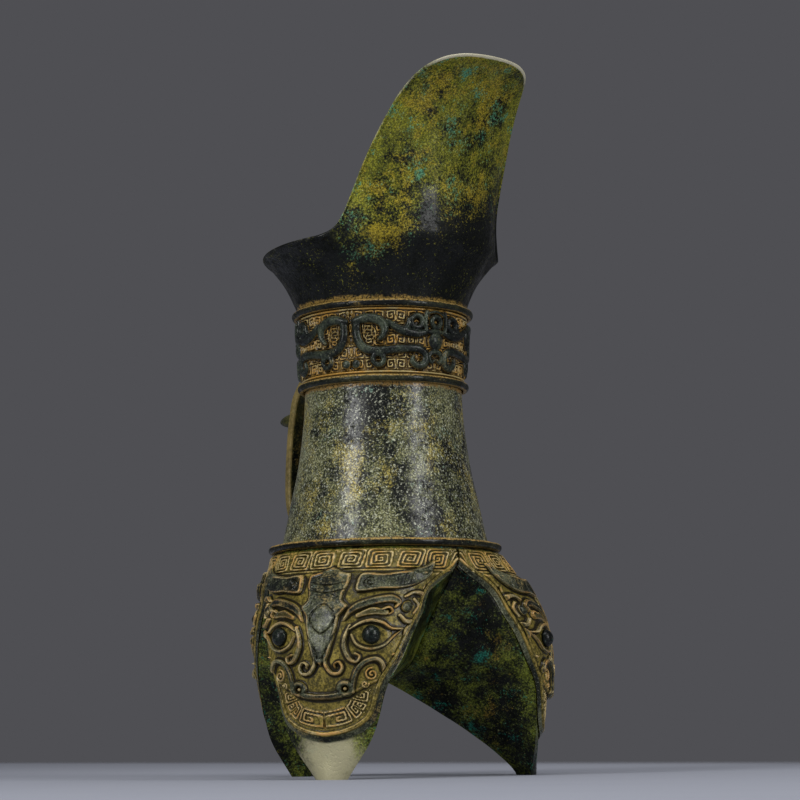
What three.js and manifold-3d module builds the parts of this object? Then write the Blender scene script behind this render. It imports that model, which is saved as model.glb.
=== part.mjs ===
// Bronze tripod pouring vessel: three hollow bag legs, a waisted neck, a dragon band and a tall spout.
// Millimetres, +Z up, origin on the vessel's own axis at the height of the feet; the spout points along +X.
import * as THREE from "three";
import Module from "manifold-3d";
import { mergeVertices } from "three/addons/utils/BufferGeometryUtils.js";

const wasm = await Module();
wasm.setup();

// Driving dimensions
const WALL = 2.6; // cast wall of the neck and mouth
const LEG_WALL = 3.2; // cast wall of the bag legs
const JOINT_GAP = 0.3; // solder gap between fitted castings
const LEG_COUNT = 3;
const LEG_AZIMUTHS = { front_right: -60, front_left: 60, rear: 180 };

// Heights
const HOLLOW_FOOT_Z = 12; // lower end of the hollow in a leg
const CROTCH_Z = 31; // underside of the belly, where the legs meet
const ARCH_Z = 67; // top of the arch between two legs
const SHOULDER_Z = 73; // top of the legs, under the shoulder rib
const BAND_BOTTOM_Z = 128.5;
const BAND_TOP_Z = 153;
const RIM_Z = BAND_TOP_Z + 20.5; // level part of the mouth's rim
const SPOUT_TIP_Z = RIM_Z + 56;

// Radii
const SHOULDER_R = 36.6;
const NECK_FOOT_R = 35;
const NECK_WAIST_R = 26.2;
const BAND_BOTTOM_R = 26.6; // ground of the dragon band
const BAND_TOP_R = 28;
const BAND_RELIEF = 2.1; // dragons, out from the band's ground
const BAND_FIELD = 0.25; // field of fine spirals between the dragons, out from the ground
const MOUTH_FOOT_R = BAND_TOP_R + 0.4;
const RIM_R = 41.2;
const SPOUT_WALL_R = 38.9;
const SPOUT_TIP_R = 60.8;
const ARCH_R = 36.8;
const LEG_BULGE_R = 52;
const FOOT_OUTER_R = 49.5;
const FOOT_INNER_R = 43;

// Ribs
const RIB_H = 2.4;
const RIB_PROUD = 2.1;
const RIB_SEAT = 0.3; // seat of the top rib, out from the foot of the flaring mouth

// Handle
const HANDLE_W = 12; // across the strap
const HANDLE_T = 3.6; // through the strap
const HANDLE_REACH_R = 49.1; // outside of the strap's upright run
const HANDLE_TOP_Z = 138; // where the strap springs from the band
const HANDLE_FOOT_Z = SHOULDER_Z + 10;
const HANDLE_BEND = 21; // height in which the strap bends from the band down into its run
const HANDLE_TURN = 12; // height in which the run turns in to the neck
const HANDLE_ROOT = 1.5; // depth of the strap's ends inside the wall's line, before they are trimmed to it
const KNOB_REACH_R = 58.4;
const KNOB_ROOT = 4.7; // how far inside the strap's reach the knob begins
const KNOB_HALF_W = 4;
const KNOB_HALF_H = 2.9;
const KNOB_DROP = 14.4; // middle of the knob under the top of the strap

// Masks
const MASK_T = 3.4; // through the raised features
const FIELD_T = 1.75; // through the ground between the features
const STRIP_T = 1.3; // through the low strips above the brow, below the jaw and round the edge
const PLATE_FOOT_Z = 11.5;
const PLATE_CHIN = 9.3; // height in which the plate's blunt foot widens to its full share of the face
const PLATE_RIM = 3.2; // bare border of the plate, which the features keep clear of
const JAW_Z = 23.5; // lower end of the raised mask
const BROW_Z = 64.5; // upper end of the raised mask
const PLATE_TOP_DROP = 0.7; // top of the plate under the top of the leg
const EYE_R = 3;
const EYE_PROUD = 1.8; // top of an eye, out from the mask
const EYE_Z = 44.3;
const EYE_SHARE = 0.51; // place of an eye between the middle of the face and its edge

const DEG = Math.PI / 180;

const bronze = (color) => new THREE.MeshStandardMaterial({ color, roughness: 0.45, metalness: 0.6 });
const GREEN_BRONZE = bronze(0x3a4a2c);
const DARK_BRONZE = bronze(0x1c211d);
const OCHRE_BRONZE = bronze(0x7d6a35);

// A smooth curve through stations [x, y], read at any x and held level past its ends.
function curveThrough(stations) {
  const slopes = stations.map((s, i) => {
    const a = stations[Math.max(i - 1, 0)];
    const b = stations[Math.min(i + 1, stations.length - 1)];
    return (b[1] - a[1]) / (b[0] - a[0]);
  });
  return (x) => {
    if (x <= stations[0][0]) return stations[0][1];
    const last = stations.length - 1;
    if (x >= stations[last][0]) return stations[last][1];
    let i = 0;
    while (x > stations[i + 1][0]) i += 1;
    const [x0, y0] = stations[i];
    const [x1, y1] = stations[i + 1];
    const span = x1 - x0;
    const t = (x - x0) / span;
    const h00 = 2 * t ** 3 - 3 * t ** 2 + 1;
    const h10 = t ** 3 - 2 * t ** 2 + t;
    const h01 = -2 * t ** 3 + 3 * t ** 2;
    const h11 = t ** 3 - t ** 2;
    return h00 * y0 + h10 * span * slopes[i] + h01 * y1 + h11 * span * slopes[i + 1];
  };
}

function geometryOf(points, faces) {
  const geometry = new THREE.BufferGeometry();
  geometry.setAttribute("position", new THREE.Float32BufferAttribute(points.flat(), 3));
  geometry.setIndex(faces.flat());
  return geometry;
}

function solidOf(geometry) {
  const bare = geometry.clone();
  bare.deleteAttribute("normal");
  bare.deleteAttribute("uv");
  const merged = mergeVertices(bare, 1e-4);
  return new wasm.Manifold(
    new wasm.Mesh({
      numProp: 3,
      vertProperties: merged.attributes.position.array,
      triVerts: new Uint32Array(merged.index.array),
    }),
  );
}

function geometryFrom(solid) {
  const mesh = solid.getMesh();
  const geometry = new THREE.BufferGeometry();
  geometry.setAttribute("position", new THREE.BufferAttribute(new Float32Array(mesh.vertProperties), 3));
  geometry.setIndex(new THREE.BufferAttribute(new Uint32Array(mesh.triVerts), 1));
  return geometry;
}

// Rings of equal point count, joined in order into one closed body with flat ends.
// Rings run anticlockwise seen from the far end, so that the faces point out.
function loft(rings) {
  const count = rings[0].length;
  const points = rings.flat();
  const faces = [];
  for (let k = 0; k < rings.length - 1; k += 1) {
    for (let i = 0; i < count; i += 1) {
      const j = (i + 1) % count;
      const a = k * count + i;
      const b = k * count + j;
      faces.push([a, b, b + count], [a, b + count, a + count]);
    }
  }
  const top = (rings.length - 1) * count;
  for (let i = 1; i < count - 1; i += 1) {
    faces.push([0, i + 1, i], [top, top + i, top + i + 1]);
  }
  return geometryOf(points, faces);
}

// A sheet with thickness around the axis, closed at both ends.
// Its sides are outer(u, v) and inner(u, v), for u round and v up.
function roundShell(outer, inner, around, up) {
  const points = [];
  for (const side of [outer, inner]) {
    for (let k = 0; k <= up; k += 1) {
      for (let i = 0; i < around; i += 1) points.push(side(i / around, k / up));
    }
  }
  const sheet = (up + 1) * around;
  const faces = [];
  const at = (side, k, i) => side * sheet + k * around + (i % around);
  for (let i = 0; i < around; i += 1) {
    for (let k = 0; k < up; k += 1) {
      faces.push([at(0, k, i), at(0, k, i + 1), at(0, k + 1, i + 1)]);
      faces.push([at(0, k, i), at(0, k + 1, i + 1), at(0, k + 1, i)]);
      faces.push([at(1, k, i), at(1, k + 1, i + 1), at(1, k, i + 1)]);
      faces.push([at(1, k, i), at(1, k + 1, i), at(1, k + 1, i + 1)]);
    }
    faces.push([at(0, up, i), at(0, up, i + 1), at(1, up, i + 1)]);
    faces.push([at(0, up, i), at(1, up, i + 1), at(1, up, i)]);
    faces.push([at(0, 0, i), at(1, 0, i + 1), at(0, 0, i + 1)]);
    faces.push([at(0, 0, i), at(1, 0, i), at(1, 0, i + 1)]);
  }
  return geometryOf(points, faces);
}

const polar = (r, angle, z) => [r * Math.cos(angle), r * Math.sin(angle), z];

// A turned ring from a closed outline of [radius, height] points.
function turned(outline, segments = 60) {
  const points = outline.map(([r, z]) => new THREE.Vector2(r, z));
  points.push(points[0].clone());
  const geometry = new THREE.LatheGeometry(points, segments);
  geometry.rotateX(Math.PI / 2);
  return geometry;
}

// Mouth and spout
const FLARE_Z = (share) => BAND_TOP_Z + (RIM_Z - BAND_TOP_Z) * share;
const flareRadius = curveThrough([
  [BAND_TOP_Z, MOUTH_FOOT_R],
  [FLARE_Z(0.49), MOUTH_FOOT_R + (RIM_R - MOUTH_FOOT_R) * 0.36],
  [FLARE_Z(0.78), MOUTH_FOOT_R + (RIM_R - MOUTH_FOOT_R) * 0.69],
  [RIM_Z, RIM_R],
]);
const SPOUT_Z = (share) => RIM_Z + (SPOUT_TIP_Z - RIM_Z) * share;
const SPOUT_FOOT = (share) => MOUTH_FOOT_R + (SPOUT_WALL_R - MOUTH_FOOT_R) * share;
const SPOUT_LEAN = (share) => SPOUT_WALL_R + (SPOUT_TIP_R - SPOUT_WALL_R) * share;
const spoutRadius = curveThrough([
  [BAND_TOP_Z, MOUTH_FOOT_R],
  [FLARE_Z(0.27), SPOUT_FOOT(0.16)],
  [FLARE_Z(0.51), SPOUT_FOOT(0.38)],
  [FLARE_Z(0.68), SPOUT_FOOT(0.55)],
  [FLARE_Z(0.83), SPOUT_FOOT(0.72)],
  [FLARE_Z(0.95), SPOUT_FOOT(0.9)],
  [SPOUT_Z(0.036), SPOUT_WALL_R],
  [SPOUT_Z(0.243), SPOUT_LEAN(0.014)],
  [SPOUT_Z(0.387), SPOUT_LEAN(0.08)],
  [SPOUT_Z(0.53), SPOUT_LEAN(0.18)],
  [SPOUT_Z(0.675), SPOUT_LEAN(0.31)],
  [SPOUT_Z(0.8), SPOUT_LEAN(0.475)],
  [SPOUT_Z(0.895), SPOUT_LEAN(0.67)],
  [SPOUT_Z(0.96), SPOUT_LEAN(0.88)],
  [SPOUT_TIP_Z, SPOUT_TIP_R],
]);
// Height of the rim by angle from the spout's middle, in degrees.
const rimHeight = curveThrough([
  [0, SPOUT_TIP_Z],
  [6, SPOUT_Z(0.998)],
  [12, SPOUT_Z(0.989)],
  [18, SPOUT_Z(0.962)],
  [24, SPOUT_Z(0.905)],
  [30, SPOUT_Z(0.802)],
  [36, SPOUT_Z(0.662)],
  [42, SPOUT_Z(0.518)],
  [48, SPOUT_Z(0.366)],
  [53, SPOUT_Z(0.232)],
  [57, SPOUT_Z(0.125)],
  [61, SPOUT_Z(0.054)],
  [66, SPOUT_Z(0.02)],
  [72, RIM_Z + 0.5],
  [100, RIM_Z - 0.3],
  [180, RIM_Z - 1.5],
]);
const SPOUT_HALF_DEG = 54;
const SPOUT_FADE_DEG = 14;
const LIP_CROWDING = 1.5; // above 1, rows of points crowd towards the lip

function mouthSurface(inset) {
  return (u, v) => {
    const angle = (u * 2 - 1) * Math.PI;
    const away = Math.abs(angle) / DEG;
    const up = 1 - (1 - v) ** LIP_CROWDING;
    const height = BAND_TOP_Z + JOINT_GAP + (rimHeight(away) - BAND_TOP_Z - JOINT_GAP) * up;
    const t = THREE.MathUtils.smoothstep(away, SPOUT_HALF_DEG, SPOUT_HALF_DEG + SPOUT_FADE_DEG);
    const r = spoutRadius(height) * (1 - t) + flareRadius(Math.min(height, RIM_Z)) * t;
    return polar(r - inset, angle, height);
  };
}

const MOUTH_COLUMNS = 60;
const MOUTH_ROWS = 13;

function mouthAndSpout() {
  return roundShell(mouthSurface(0), mouthSurface(WALL), MOUTH_COLUMNS, MOUTH_ROWS);
}

const BAND_SLOPE = (BAND_TOP_R - BAND_BOTTOM_R) / (BAND_TOP_Z - BAND_BOTTOM_Z);
const bandRadius = (z) => BAND_BOTTOM_R + (z - BAND_BOTTOM_Z) * BAND_SLOPE;

// The band's outer side as [radius, height] points from foot to top, moved out by lift.
// Its ends step in to the ground, so that the ribs can lie over them.
function bandLine(lift, rise = BAND_RELIEF) {
  const field = RIB_H / 2 + JOINT_GAP;
  const low = BAND_BOTTOM_Z + JOINT_GAP;
  const high = BAND_TOP_Z;
  const fieldLow = BAND_BOTTOM_Z + field;
  const fieldHigh = BAND_TOP_Z - field;
  return [
    [bandRadius(low) + lift, low],
    [bandRadius(fieldLow) + lift, fieldLow],
    [bandRadius(fieldLow) + rise + lift, fieldLow],
    [bandRadius(fieldHigh) + rise + lift, fieldHigh],
    [bandRadius(fieldHigh) + lift, fieldHigh],
    [bandRadius(high) + lift, high],
  ];
}

// Relief, drawn on flat charts and then laid on the casting.
// A strap is a list of [across, up, width] stations, and a plate a list of [across, up] corners.

// The outline of a strap, run up one side and back down the other.
function strapOutline(stations) {
  const side = (hand) =>
    stations.map(([x, y, width], i) => {
      const before = stations[Math.max(i - 1, 0)];
      const after = stations[Math.min(i + 1, stations.length - 1)];
      const run = [after[0] - before[0], after[1] - before[1]];
      const half = (hand * width) / 2 / Math.hypot(...run);
      return [x - run[1] * half, y + run[0] * half];
    });
  return [...side(-1), ...side(1).reverse()];
}

// Joins outlines with their mirror images across the chart's middle line.
function mirrored(outlines) {
  const shapes = outlines.map((outline) => new wasm.CrossSection([outline], "NonZero"));
  const half = wasm.CrossSection.union(shapes);
  return half.add(half.mirror([1, 0]));
}

// Joins flat slabs and lays them on a surface, where lay(across, up, lift) gives a point's place.
function laid(slabs, facet, lay) {
  return wasm.Manifold.union(slabs)
    .refineToLength(facet)
    .warp((place) => {
      const [x, y, z] = lay(place[0], place[1], place[2]);
      place[0] = x;
      place[1] = y;
      place[2] = z;
    });
}

const BOSS_SIDES = 6;
const boss = (x, y, radius, sides = BOSS_SIDES) =>
  Array.from({ length: sides }, (_, i) => {
    const a = ((i + 0.5) * 2 * Math.PI) / sides;
    return [x + radius * Math.cos(a), y + radius * Math.sin(a)];
  });

// Paired dragons, three pairs round the band. A chart spans half of one pair:
// across as a share of that half, up and widths as shares of the band's height.
const BAND_H = BAND_TOP_Z - BAND_BOTTOM_Z;
const BAND_FACETS = 30;
const DRAGON_PAIRS = 3;
const DRAGON_R = (BAND_BOTTOM_R + BAND_TOP_R + BAND_RELIEF) / 2;
const DRAGON_SPAN = (DRAGON_R * Math.PI) / DRAGON_PAIRS;
const DRAGON_STRAPS = {
  jaw: [
    [0.92, 0.763, 0.09],
    [0.92, 0.5, 0.098],
    [0.79, 0.37, 0.09],
    [0.52, 0.365, 0.082],
    [0.223, 0.4, 0.075],
    [0.132, 0.29, 0.065],
    [0.189, 0.167, 0.057],
    [0.3, 0.212, 0.041],
  ],
  horn: [
    [0.945, 0.759, 0.065],
    [0.817, 0.796, 0.102],
    [0.66, 0.74, 0.102],
    [0.614, 0.6, 0.08],
    [0.675, 0.502, 0.041],
  ],
  back: [
    [0.587, 0.763, 0.033],
    [0.493, 0.673, 0.086],
    [0.348, 0.608, 0.09],
    [0.148, 0.616, 0.069],
  ],
  crest: [
    [0.344, 0.79, 0.053],
    [0.38, 0.629, 0.073],
  ],
};
const DRAGON_BOSSES = {
  eye: [0.246, 0.755, 0.1],
  snout: [0, 0.506, 0.11],
  brow: [0, 0.763, 0.09],
  claw: [0.685, 0.245, 0.095],
};

function dragonBand() {
  const [foot, top] = [BAND_BOTTOM_Z + JOINT_GAP, BAND_TOP_Z];
  const field = bandLine(0, BAND_FIELD);
  const outline = [[bandRadius(foot) - WALL, foot], ...field, [bandRadius(top) - WALL, top]];
  const ground = solidOf(turned(outline, BAND_FACETS));
  const spot = (x, y) => [x * DRAGON_SPAN, BAND_BOTTOM_Z + y * BAND_H];
  const straps = Object.values(DRAGON_STRAPS).map((stations) =>
    strapOutline(stations.map(([x, y, width]) => [...spot(x, y), width * BAND_H])),
  );
  const bosses = Object.values(DRAGON_BOSSES).map(([x, y, radius]) => boss(...spot(x, y), radius * BAND_H));
  const slab = mirrored([...straps, ...bosses]).extrude(WALL / 2 + BAND_RELIEF);
  const pair = laid([slab], BAND_H / 3, (across, up, lift) =>
    polar(bandRadius(up) - WALL / 2 + lift, across / DRAGON_R, up),
  );
  const turns = Array.from({ length: DRAGON_PAIRS }, (_, i) => (i * 360) / DRAGON_PAIRS);
  return geometryFrom(wasm.Manifold.union([ground, ...turns.map((turn) => pair.rotate([0, 0, turn]))]));
}

const NECK_Z = (share) => SHOULDER_Z + (BAND_BOTTOM_Z - SHOULDER_Z) * share;
const neckRadius = curveThrough([
  [SHOULDER_Z, NECK_FOOT_R],
  [NECK_Z(0.14), NECK_WAIST_R + (NECK_FOOT_R - NECK_WAIST_R) * 0.8],
  [NECK_Z(0.3), NECK_WAIST_R + (NECK_FOOT_R - NECK_WAIST_R) * 0.59],
  [NECK_Z(0.5), NECK_WAIST_R + (NECK_FOOT_R - NECK_WAIST_R) * 0.32],
  [NECK_Z(0.75), NECK_WAIST_R + (NECK_FOOT_R - NECK_WAIST_R) * 0.1],
  [BAND_BOTTOM_Z, NECK_WAIST_R],
]);

const NECK_STEPS = 8;

// The neck's side as [radius, height] points from foot to top, moved out by lift.
function neckLine(lift) {
  const foot = SHOULDER_Z + JOINT_GAP;
  const line = [];
  for (let k = 0; k <= NECK_STEPS; k += 1) {
    const z = foot + ((BAND_BOTTOM_Z - foot) * k) / NECK_STEPS;
    line.push([neckRadius(z) + lift, z]);
  }
  return line;
}

function waistNeck() {
  return turned([...neckLine(0), ...neckLine(-WALL).reverse()]);
}

// The walls of the neck and the band grown by the solder gap, which the handle's ends are trimmed to.
function wallClearance() {
  const neck = solidOf(turned([...neckLine(JOINT_GAP), ...neckLine(-WALL * 2).reverse()]));
  const band = solidOf(turned([...bandLine(JOINT_GAP), ...bandLine(-WALL * 2).reverse()]));
  return neck.add(band);
}

// A half-round rib that closes the seam between two castings, from its seat out to the given radius.
function rib(seat, outer, z) {
  const round = RIB_H / 2;
  const outline = [[seat + JOINT_GAP, z - round]];
  for (let k = 0; k <= 4; k += 1) {
    const a = (-90 + 45 * k) * DEG;
    outline.push([outer - round + round * Math.cos(a), z + round * Math.sin(a)]);
  }
  outline.push([seat + JOINT_GAP, z + round]);
  return turned(outline);
}

// Bag legs, each in its own frame: +X out along the leg, +Y across it.
const LEG_HALF = Math.PI / LEG_COUNT;
const LEG_Z = (share) => ARCH_Z * share;
const BULGE_DROP = (share) => LEG_BULGE_R - (LEG_BULGE_R - SHOULDER_R) * share;
// Radius of the middle of a leg's face by height.
const bulge = curveThrough([
  [0, FOOT_OUTER_R],
  [LEG_Z(0.18), FOOT_OUTER_R + (LEG_BULGE_R - FOOT_OUTER_R) * 0.2],
  [LEG_Z(0.31), FOOT_OUTER_R + (LEG_BULGE_R - FOOT_OUTER_R) * 0.56],
  [LEG_Z(0.45), LEG_BULGE_R],
  [LEG_Z(0.6), LEG_BULGE_R],
  [LEG_Z(0.75), BULGE_DROP(0.11)],
  [LEG_Z(0.866), BULGE_DROP(0.325)],
  [LEG_Z(0.985), BULGE_DROP(0.65)],
  [SHOULDER_Z, SHOULDER_R],
]);
// Radius and angle of the face's edge, where it meets the arch between two legs.
const ARCH_DROP = (share) => LEG_BULGE_R - (LEG_BULGE_R - ARCH_R) * share;
const edgeRadius = curveThrough([
  [0, FOOT_OUTER_R * 0.945],
  [LEG_Z(0.194), FOOT_OUTER_R * 0.99],
  [LEG_Z(0.433), ARCH_DROP(0.164)],
  [LEG_Z(0.552), ARCH_DROP(0.29)],
  [LEG_Z(0.679), ARCH_DROP(0.447)],
  [LEG_Z(0.776), ARCH_DROP(0.618)],
  [LEG_Z(0.878), ARCH_DROP(0.796)],
  [ARCH_Z, ARCH_R],
  [SHOULDER_Z, SHOULDER_R],
]);
const edgeAngle = curveThrough([
  [0, LEG_HALF * 0.11],
  [LEG_Z(0.194), LEG_HALF * 0.277],
  [LEG_Z(0.433), LEG_HALF * 0.373],
  [LEG_Z(0.552), LEG_HALF * 0.463],
  [LEG_Z(0.679), LEG_HALF * 0.55],
  [LEG_Z(0.776), LEG_HALF * 0.633],
  [LEG_Z(0.878), LEG_HALF * 0.717],
  [ARCH_Z, LEG_HALF],
  [SHOULDER_Z, LEG_HALF],
]);
function edgeCorner(z) {
  const angle = Math.min(edgeAngle(z), LEG_HALF);
  return [edgeRadius(z) * Math.cos(angle), edgeRadius(z) * Math.sin(angle)];
}

// Radius of the arch's underside between two legs by height.
const VALLEY_Z = (share) => CROTCH_Z + (ARCH_Z - CROTCH_Z) * share;
const valley = curveThrough([
  [CROTCH_Z, 0.5],
  [VALLEY_Z(0.14), ARCH_R * 0.33],
  [VALLEY_Z(0.36), ARCH_R * 0.505],
  [VALLEY_Z(0.67), ARCH_R * 0.725],
  [ARCH_Z, ARCH_R - 0.4],
  [SHOULDER_Z, SHOULDER_R],
]);
// Radius of a leg's inner edge, which runs from the foot up to the crotch.
const keel = (z) => (z >= CROTCH_Z ? 0 : FOOT_INNER_R * (1 - (z / CROTCH_Z) ** 1.3));

// Evenly spaced numbers from low to high, with both ends.
function spaced(low, high, steps) {
  return Array.from({ length: steps + 1 }, (_, i) => low + ((high - low) * i) / steps);
}

function legSection(z, wall, arcSteps = 10) {
  const inner = [keel(Math.max(z - wall * 0.9, 0)) + (z < CROTCH_Z ? wall * 0.8 : 0), 0];
  const v = Math.max(valley(z) - wall * 1.1, 0.4);
  const edge = edgeCorner(z);
  const corner = [edge[0] - wall * 0.75, edge[1] - wall * 0.9];
  const out = bulge(z) - wall;
  const notch = z > CROTCH_Z
    ? [v * Math.cos(LEG_HALF), v * Math.sin(LEG_HALF)]
    : [inner[0] + (corner[0] - inner[0]) * 0.06, corner[1] * 0.06];
  const ring = [[inner[0], inner[1], z], [notch[0], -notch[1], z]];
  const sagitta = out - corner[0];
  const radius = (corner[1] ** 2 + sagitta ** 2) / (2 * sagitta);
  const centre = out - radius;
  const half = Math.atan2(corner[1], corner[0] - centre);
  for (let i = 0; i <= arcSteps; i += 1) {
    const a = -half + (2 * half * i) / arcSteps;
    ring.push([centre + radius * Math.cos(a), radius * Math.sin(a), z]);
  }
  ring.push([notch[0], notch[1], z]);
  return ring;
}

// The third of the vessel that one leg's casting may fill, short of its neighbours by half the solder gap.
function legSector() {
  const reach = (LEG_BULGE_R * 2) / Math.cos(LEG_HALF);
  const tip = JOINT_GAP / 2 / Math.sin(LEG_HALF);
  const sector = new THREE.Shape();
  sector.moveTo(tip, 0);
  sector.lineTo(tip + reach * Math.cos(LEG_HALF), -reach * Math.sin(LEG_HALF));
  sector.lineTo(tip + reach * Math.cos(LEG_HALF), reach * Math.sin(LEG_HALF));
  sector.closePath();
  return solidOf(new THREE.ExtrudeGeometry(sector, { depth: SHOULDER_Z, bevelEnabled: false }));
}

const COLLAR_Z = (ARCH_Z + SHOULDER_Z) / 2;

function bagLeg() {
  const levels = [...spaced(0, CROTCH_Z, 6), ...spaced(CROTCH_Z + 2, ARCH_Z, 8), COLLAR_Z, SHOULDER_Z];
  const outer = solidOf(loft(levels.map((z) => legSection(z, 0))));
  const belly = spaced(CROTCH_Z + LEG_WALL * 1.5, ARCH_Z, 7);
  const hollow = [...spaced(HOLLOW_FOOT_Z, CROTCH_Z, 4), ...belly, COLLAR_Z, SHOULDER_Z + JOINT_GAP];
  const inner = solidOf(loft(hollow.map((z) => legSection(z, LEG_WALL))));
  return geometryFrom(outer.subtract(inner).intersect(legSector()));
}

// Face plate carrying the mask, laid on the leg's outer face inside the arch.
// Its half width by height, as a share of the face's: a blunt round end at the foot.
const PLATE_SHARE = 0.985;
const CHIN_Z = (share) => PLATE_FOOT_Z + PLATE_CHIN * share;
const plateEdge = curveThrough([
  [CHIN_Z(0), 0.06],
  [CHIN_Z(0.075), 0.38],
  [CHIN_Z(0.18), 0.58],
  [CHIN_Z(0.32), 0.75],
  [CHIN_Z(0.61), 0.92],
  [CHIN_Z(1), PLATE_SHARE],
]);

// The arc of a leg's face at one height: its middle on the X axis, its radius and half of its angle.
function faceArc(z) {
  const corner = edgeCorner(z);
  const sagitta = bulge(z) - corner[0];
  const radius = (corner[1] ** 2 + sagitta ** 2) / (2 * sagitta);
  const centre = bulge(z) - radius;
  return { centre, radius, half: Math.atan2(corner[1], corner[0] - centre) };
}

function facePoint(z, share, lift) {
  const { centre, radius, half } = faceArc(z);
  const a = half * share;
  return [centre + (radius + lift) * Math.cos(a), (radius + lift) * Math.sin(a), z];
}

const STRIP_FACE = JOINT_GAP + STRIP_T; // faces of the plate, off the leg
const FIELD_FACE = JOINT_GAP + FIELD_T;
const MASK_FACE = JOINT_GAP + MASK_T;
const BACK_FACE = JOINT_GAP + STRIP_T * 0.62;
const FACE_ROOT = JOINT_GAP + STRIP_T * 0.35; // where the steps of the face begin, inside the back
const FACE_BORDER = JOINT_GAP; // ledge of the back round the face

const PLATE_TOP_Z = SHOULDER_Z - PLATE_TOP_DROP;
const PLATE_ROWS = [...[0, 0.075, 0.18, 0.32, 0.61, 1].map(CHIN_Z), ...spaced(JAW_Z, PLATE_TOP_Z, 11)];
const PLATE_COLUMNS = spaced(-1, 1, 14).map((t) => Math.sin((t * Math.PI) / 2));

// A sheet that follows the leg's face, between two distances off it.
function faceSheet(low, high) {
  const points = [];
  for (const lift of [low, high]) {
    for (const z of PLATE_ROWS) {
      for (const spread of PLATE_COLUMNS) {
        points.push(facePoint(z, plateEdge(z) * spread, lift));
      }
    }
  }
  const rows = PLATE_ROWS.length - 1;
  const columns = PLATE_COLUMNS.length - 1;
  const faces = [];
  const sheet = (rows + 1) * (columns + 1);
  const at = (side, k, i) => side * sheet + k * (columns + 1) + i;
  const quad = (a, b, c, d) => faces.push([a, b, c], [a, c, d]);
  for (let k = 0; k < rows; k += 1) {
    for (let i = 0; i < columns; i += 1) {
      quad(at(1, k, i), at(1, k, i + 1), at(1, k + 1, i + 1), at(1, k + 1, i));
      quad(at(0, k, i), at(0, k + 1, i), at(0, k + 1, i + 1), at(0, k, i + 1));
    }
    quad(at(0, k, 0), at(1, k, 0), at(1, k + 1, 0), at(0, k + 1, 0));
    quad(at(0, k, columns), at(0, k + 1, columns), at(1, k + 1, columns), at(1, k, columns));
  }
  for (let i = 0; i < columns; i += 1) {
    quad(at(0, 0, i), at(0, 0, i + 1), at(1, 0, i + 1), at(1, 0, i));
    quad(at(0, rows, i), at(1, rows, i), at(1, rows, i + 1), at(0, rows, i + 1));
  }
  return geometryOf(points, faces);
}

// Half of a mask's features, all as shares of the mask's height:
// across from its middle line, up from the jaw.
const MASK_H = BROW_Z - JAW_Z;
const FEATURE_STRAPS = {
  brow: [
    [0.156, 0.622, 0.022],
    [0.21, 0.7, 0.06],
    [0.35, 0.765, 0.068],
    [0.478, 0.783, 0.066],
    [0.534, 0.749, 0.039],
  ],
  ear: [
    [0.556, 0.656, 0.027],
    [0.65, 0.61, 0.042],
    [0.74, 0.68, 0.044],
    [0.73, 0.8, 0.044],
    [0.58, 0.81, 0.026],
  ],
  upper_lid: [
    [0.205, 0.551, 0.022],
    [0.28, 0.605, 0.034],
    [0.42, 0.605, 0.037],
    [0.585, 0.554, 0.015],
  ],
  lower_lid: [
    [0.217, 0.51, 0.02],
    [0.29, 0.41, 0.031],
    [0.43, 0.41, 0.031],
    [0.58, 0.549, 0.012],
  ],
  cheek: [
    [0.202, 0.578, 0.027],
    [0.168, 0.44, 0.04],
    [0.21, 0.327, 0.039],
    [0.263, 0.315, 0.029],
  ],
  jaw: [
    [0.227, 0.08, 0.034],
    [0.25, 0.22, 0.042],
    [0.32, 0.315, 0.044],
    [0.42, 0.315, 0.044],
    [0.463, 0.2, 0.041],
    [0.541, 0.22, 0.022],
  ],
  nostril: [
    [0.034, 0.359, 0.027],
    [0.06, 0.24, 0.036],
    [0.15, 0.23, 0.034],
    [0.137, 0.302, 0.024],
  ],
  lip: [
    [0, 0.046, 0.056],
    [0.05, 0.046, 0.056],
    [0.137, 0.059, 0.056],
  ],
};
const FEATURE_PLATES = {
  shield: [
    [0, 0.3],
    [0.029, 0.3],
    [0.08, 0.407],
    [0.112, 0.534],
    [0.129, 0.651],
    [0.178, 0.734],
    [0.134, 0.807],
    [0.154, 0.89],
    [0.159, 0.968],
    [0.127, 0.995],
    [0, 0.995],
  ],
  horn: [
    [0.21, 0.842],
    [0.463, 0.854],
    [0.605, 0.876],
    [0.7, 0.924],
    [0.763, 1.027],
    [0.756, 1.095],
    [0.65, 1.04],
    [0.485, 1],
    [0.229, 0.983],
    [0.205, 0.915],
  ],
};
const FEATURE_BOSSES = {
  whisker: [0.176, 0.105, 0.06],
};

// The plate's outline on the chart of the leg's face, drawn in by a border.
function plateOutline(border) {
  const side = PLATE_ROWS.map((z) => {
    const { radius, half } = faceArc(z);
    return [radius * half * plateEdge(z), z];
  });
  const outline = [...side, ...side.map(([x, y]) => [-x, y]).reverse()];
  return new wasm.CrossSection([outline], "NonZero").offset(-border, "Miter");
}

// The features' pattern on the same chart, clear of the border and of the eyes.
function features() {
  const spot = (x, y) => [x * MASK_H, JAW_Z + y * MASK_H];
  const straps = Object.values(FEATURE_STRAPS).map((stations) =>
    strapOutline(stations.map(([x, y, width]) => [...spot(x, y), width * MASK_H])),
  );
  const plates = Object.values(FEATURE_PLATES).map((corners) => corners.map(([x, y]) => spot(x, y)));
  const bosses = Object.values(FEATURE_BOSSES).map(([x, y, radius]) => boss(...spot(x, y), radius * MASK_H));
  const { radius, half } = faceArc(EYE_Z);
  const eyes = mirrored([boss(radius * half * EYE_SHARE, EYE_Z, EYE_R + JOINT_GAP * 2, BOSS_SIDES * 2)]);
  return mirrored([...straps, ...plates, ...bosses]).intersect(plateOutline(PLATE_RIM)).subtract(eyes);
}

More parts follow.
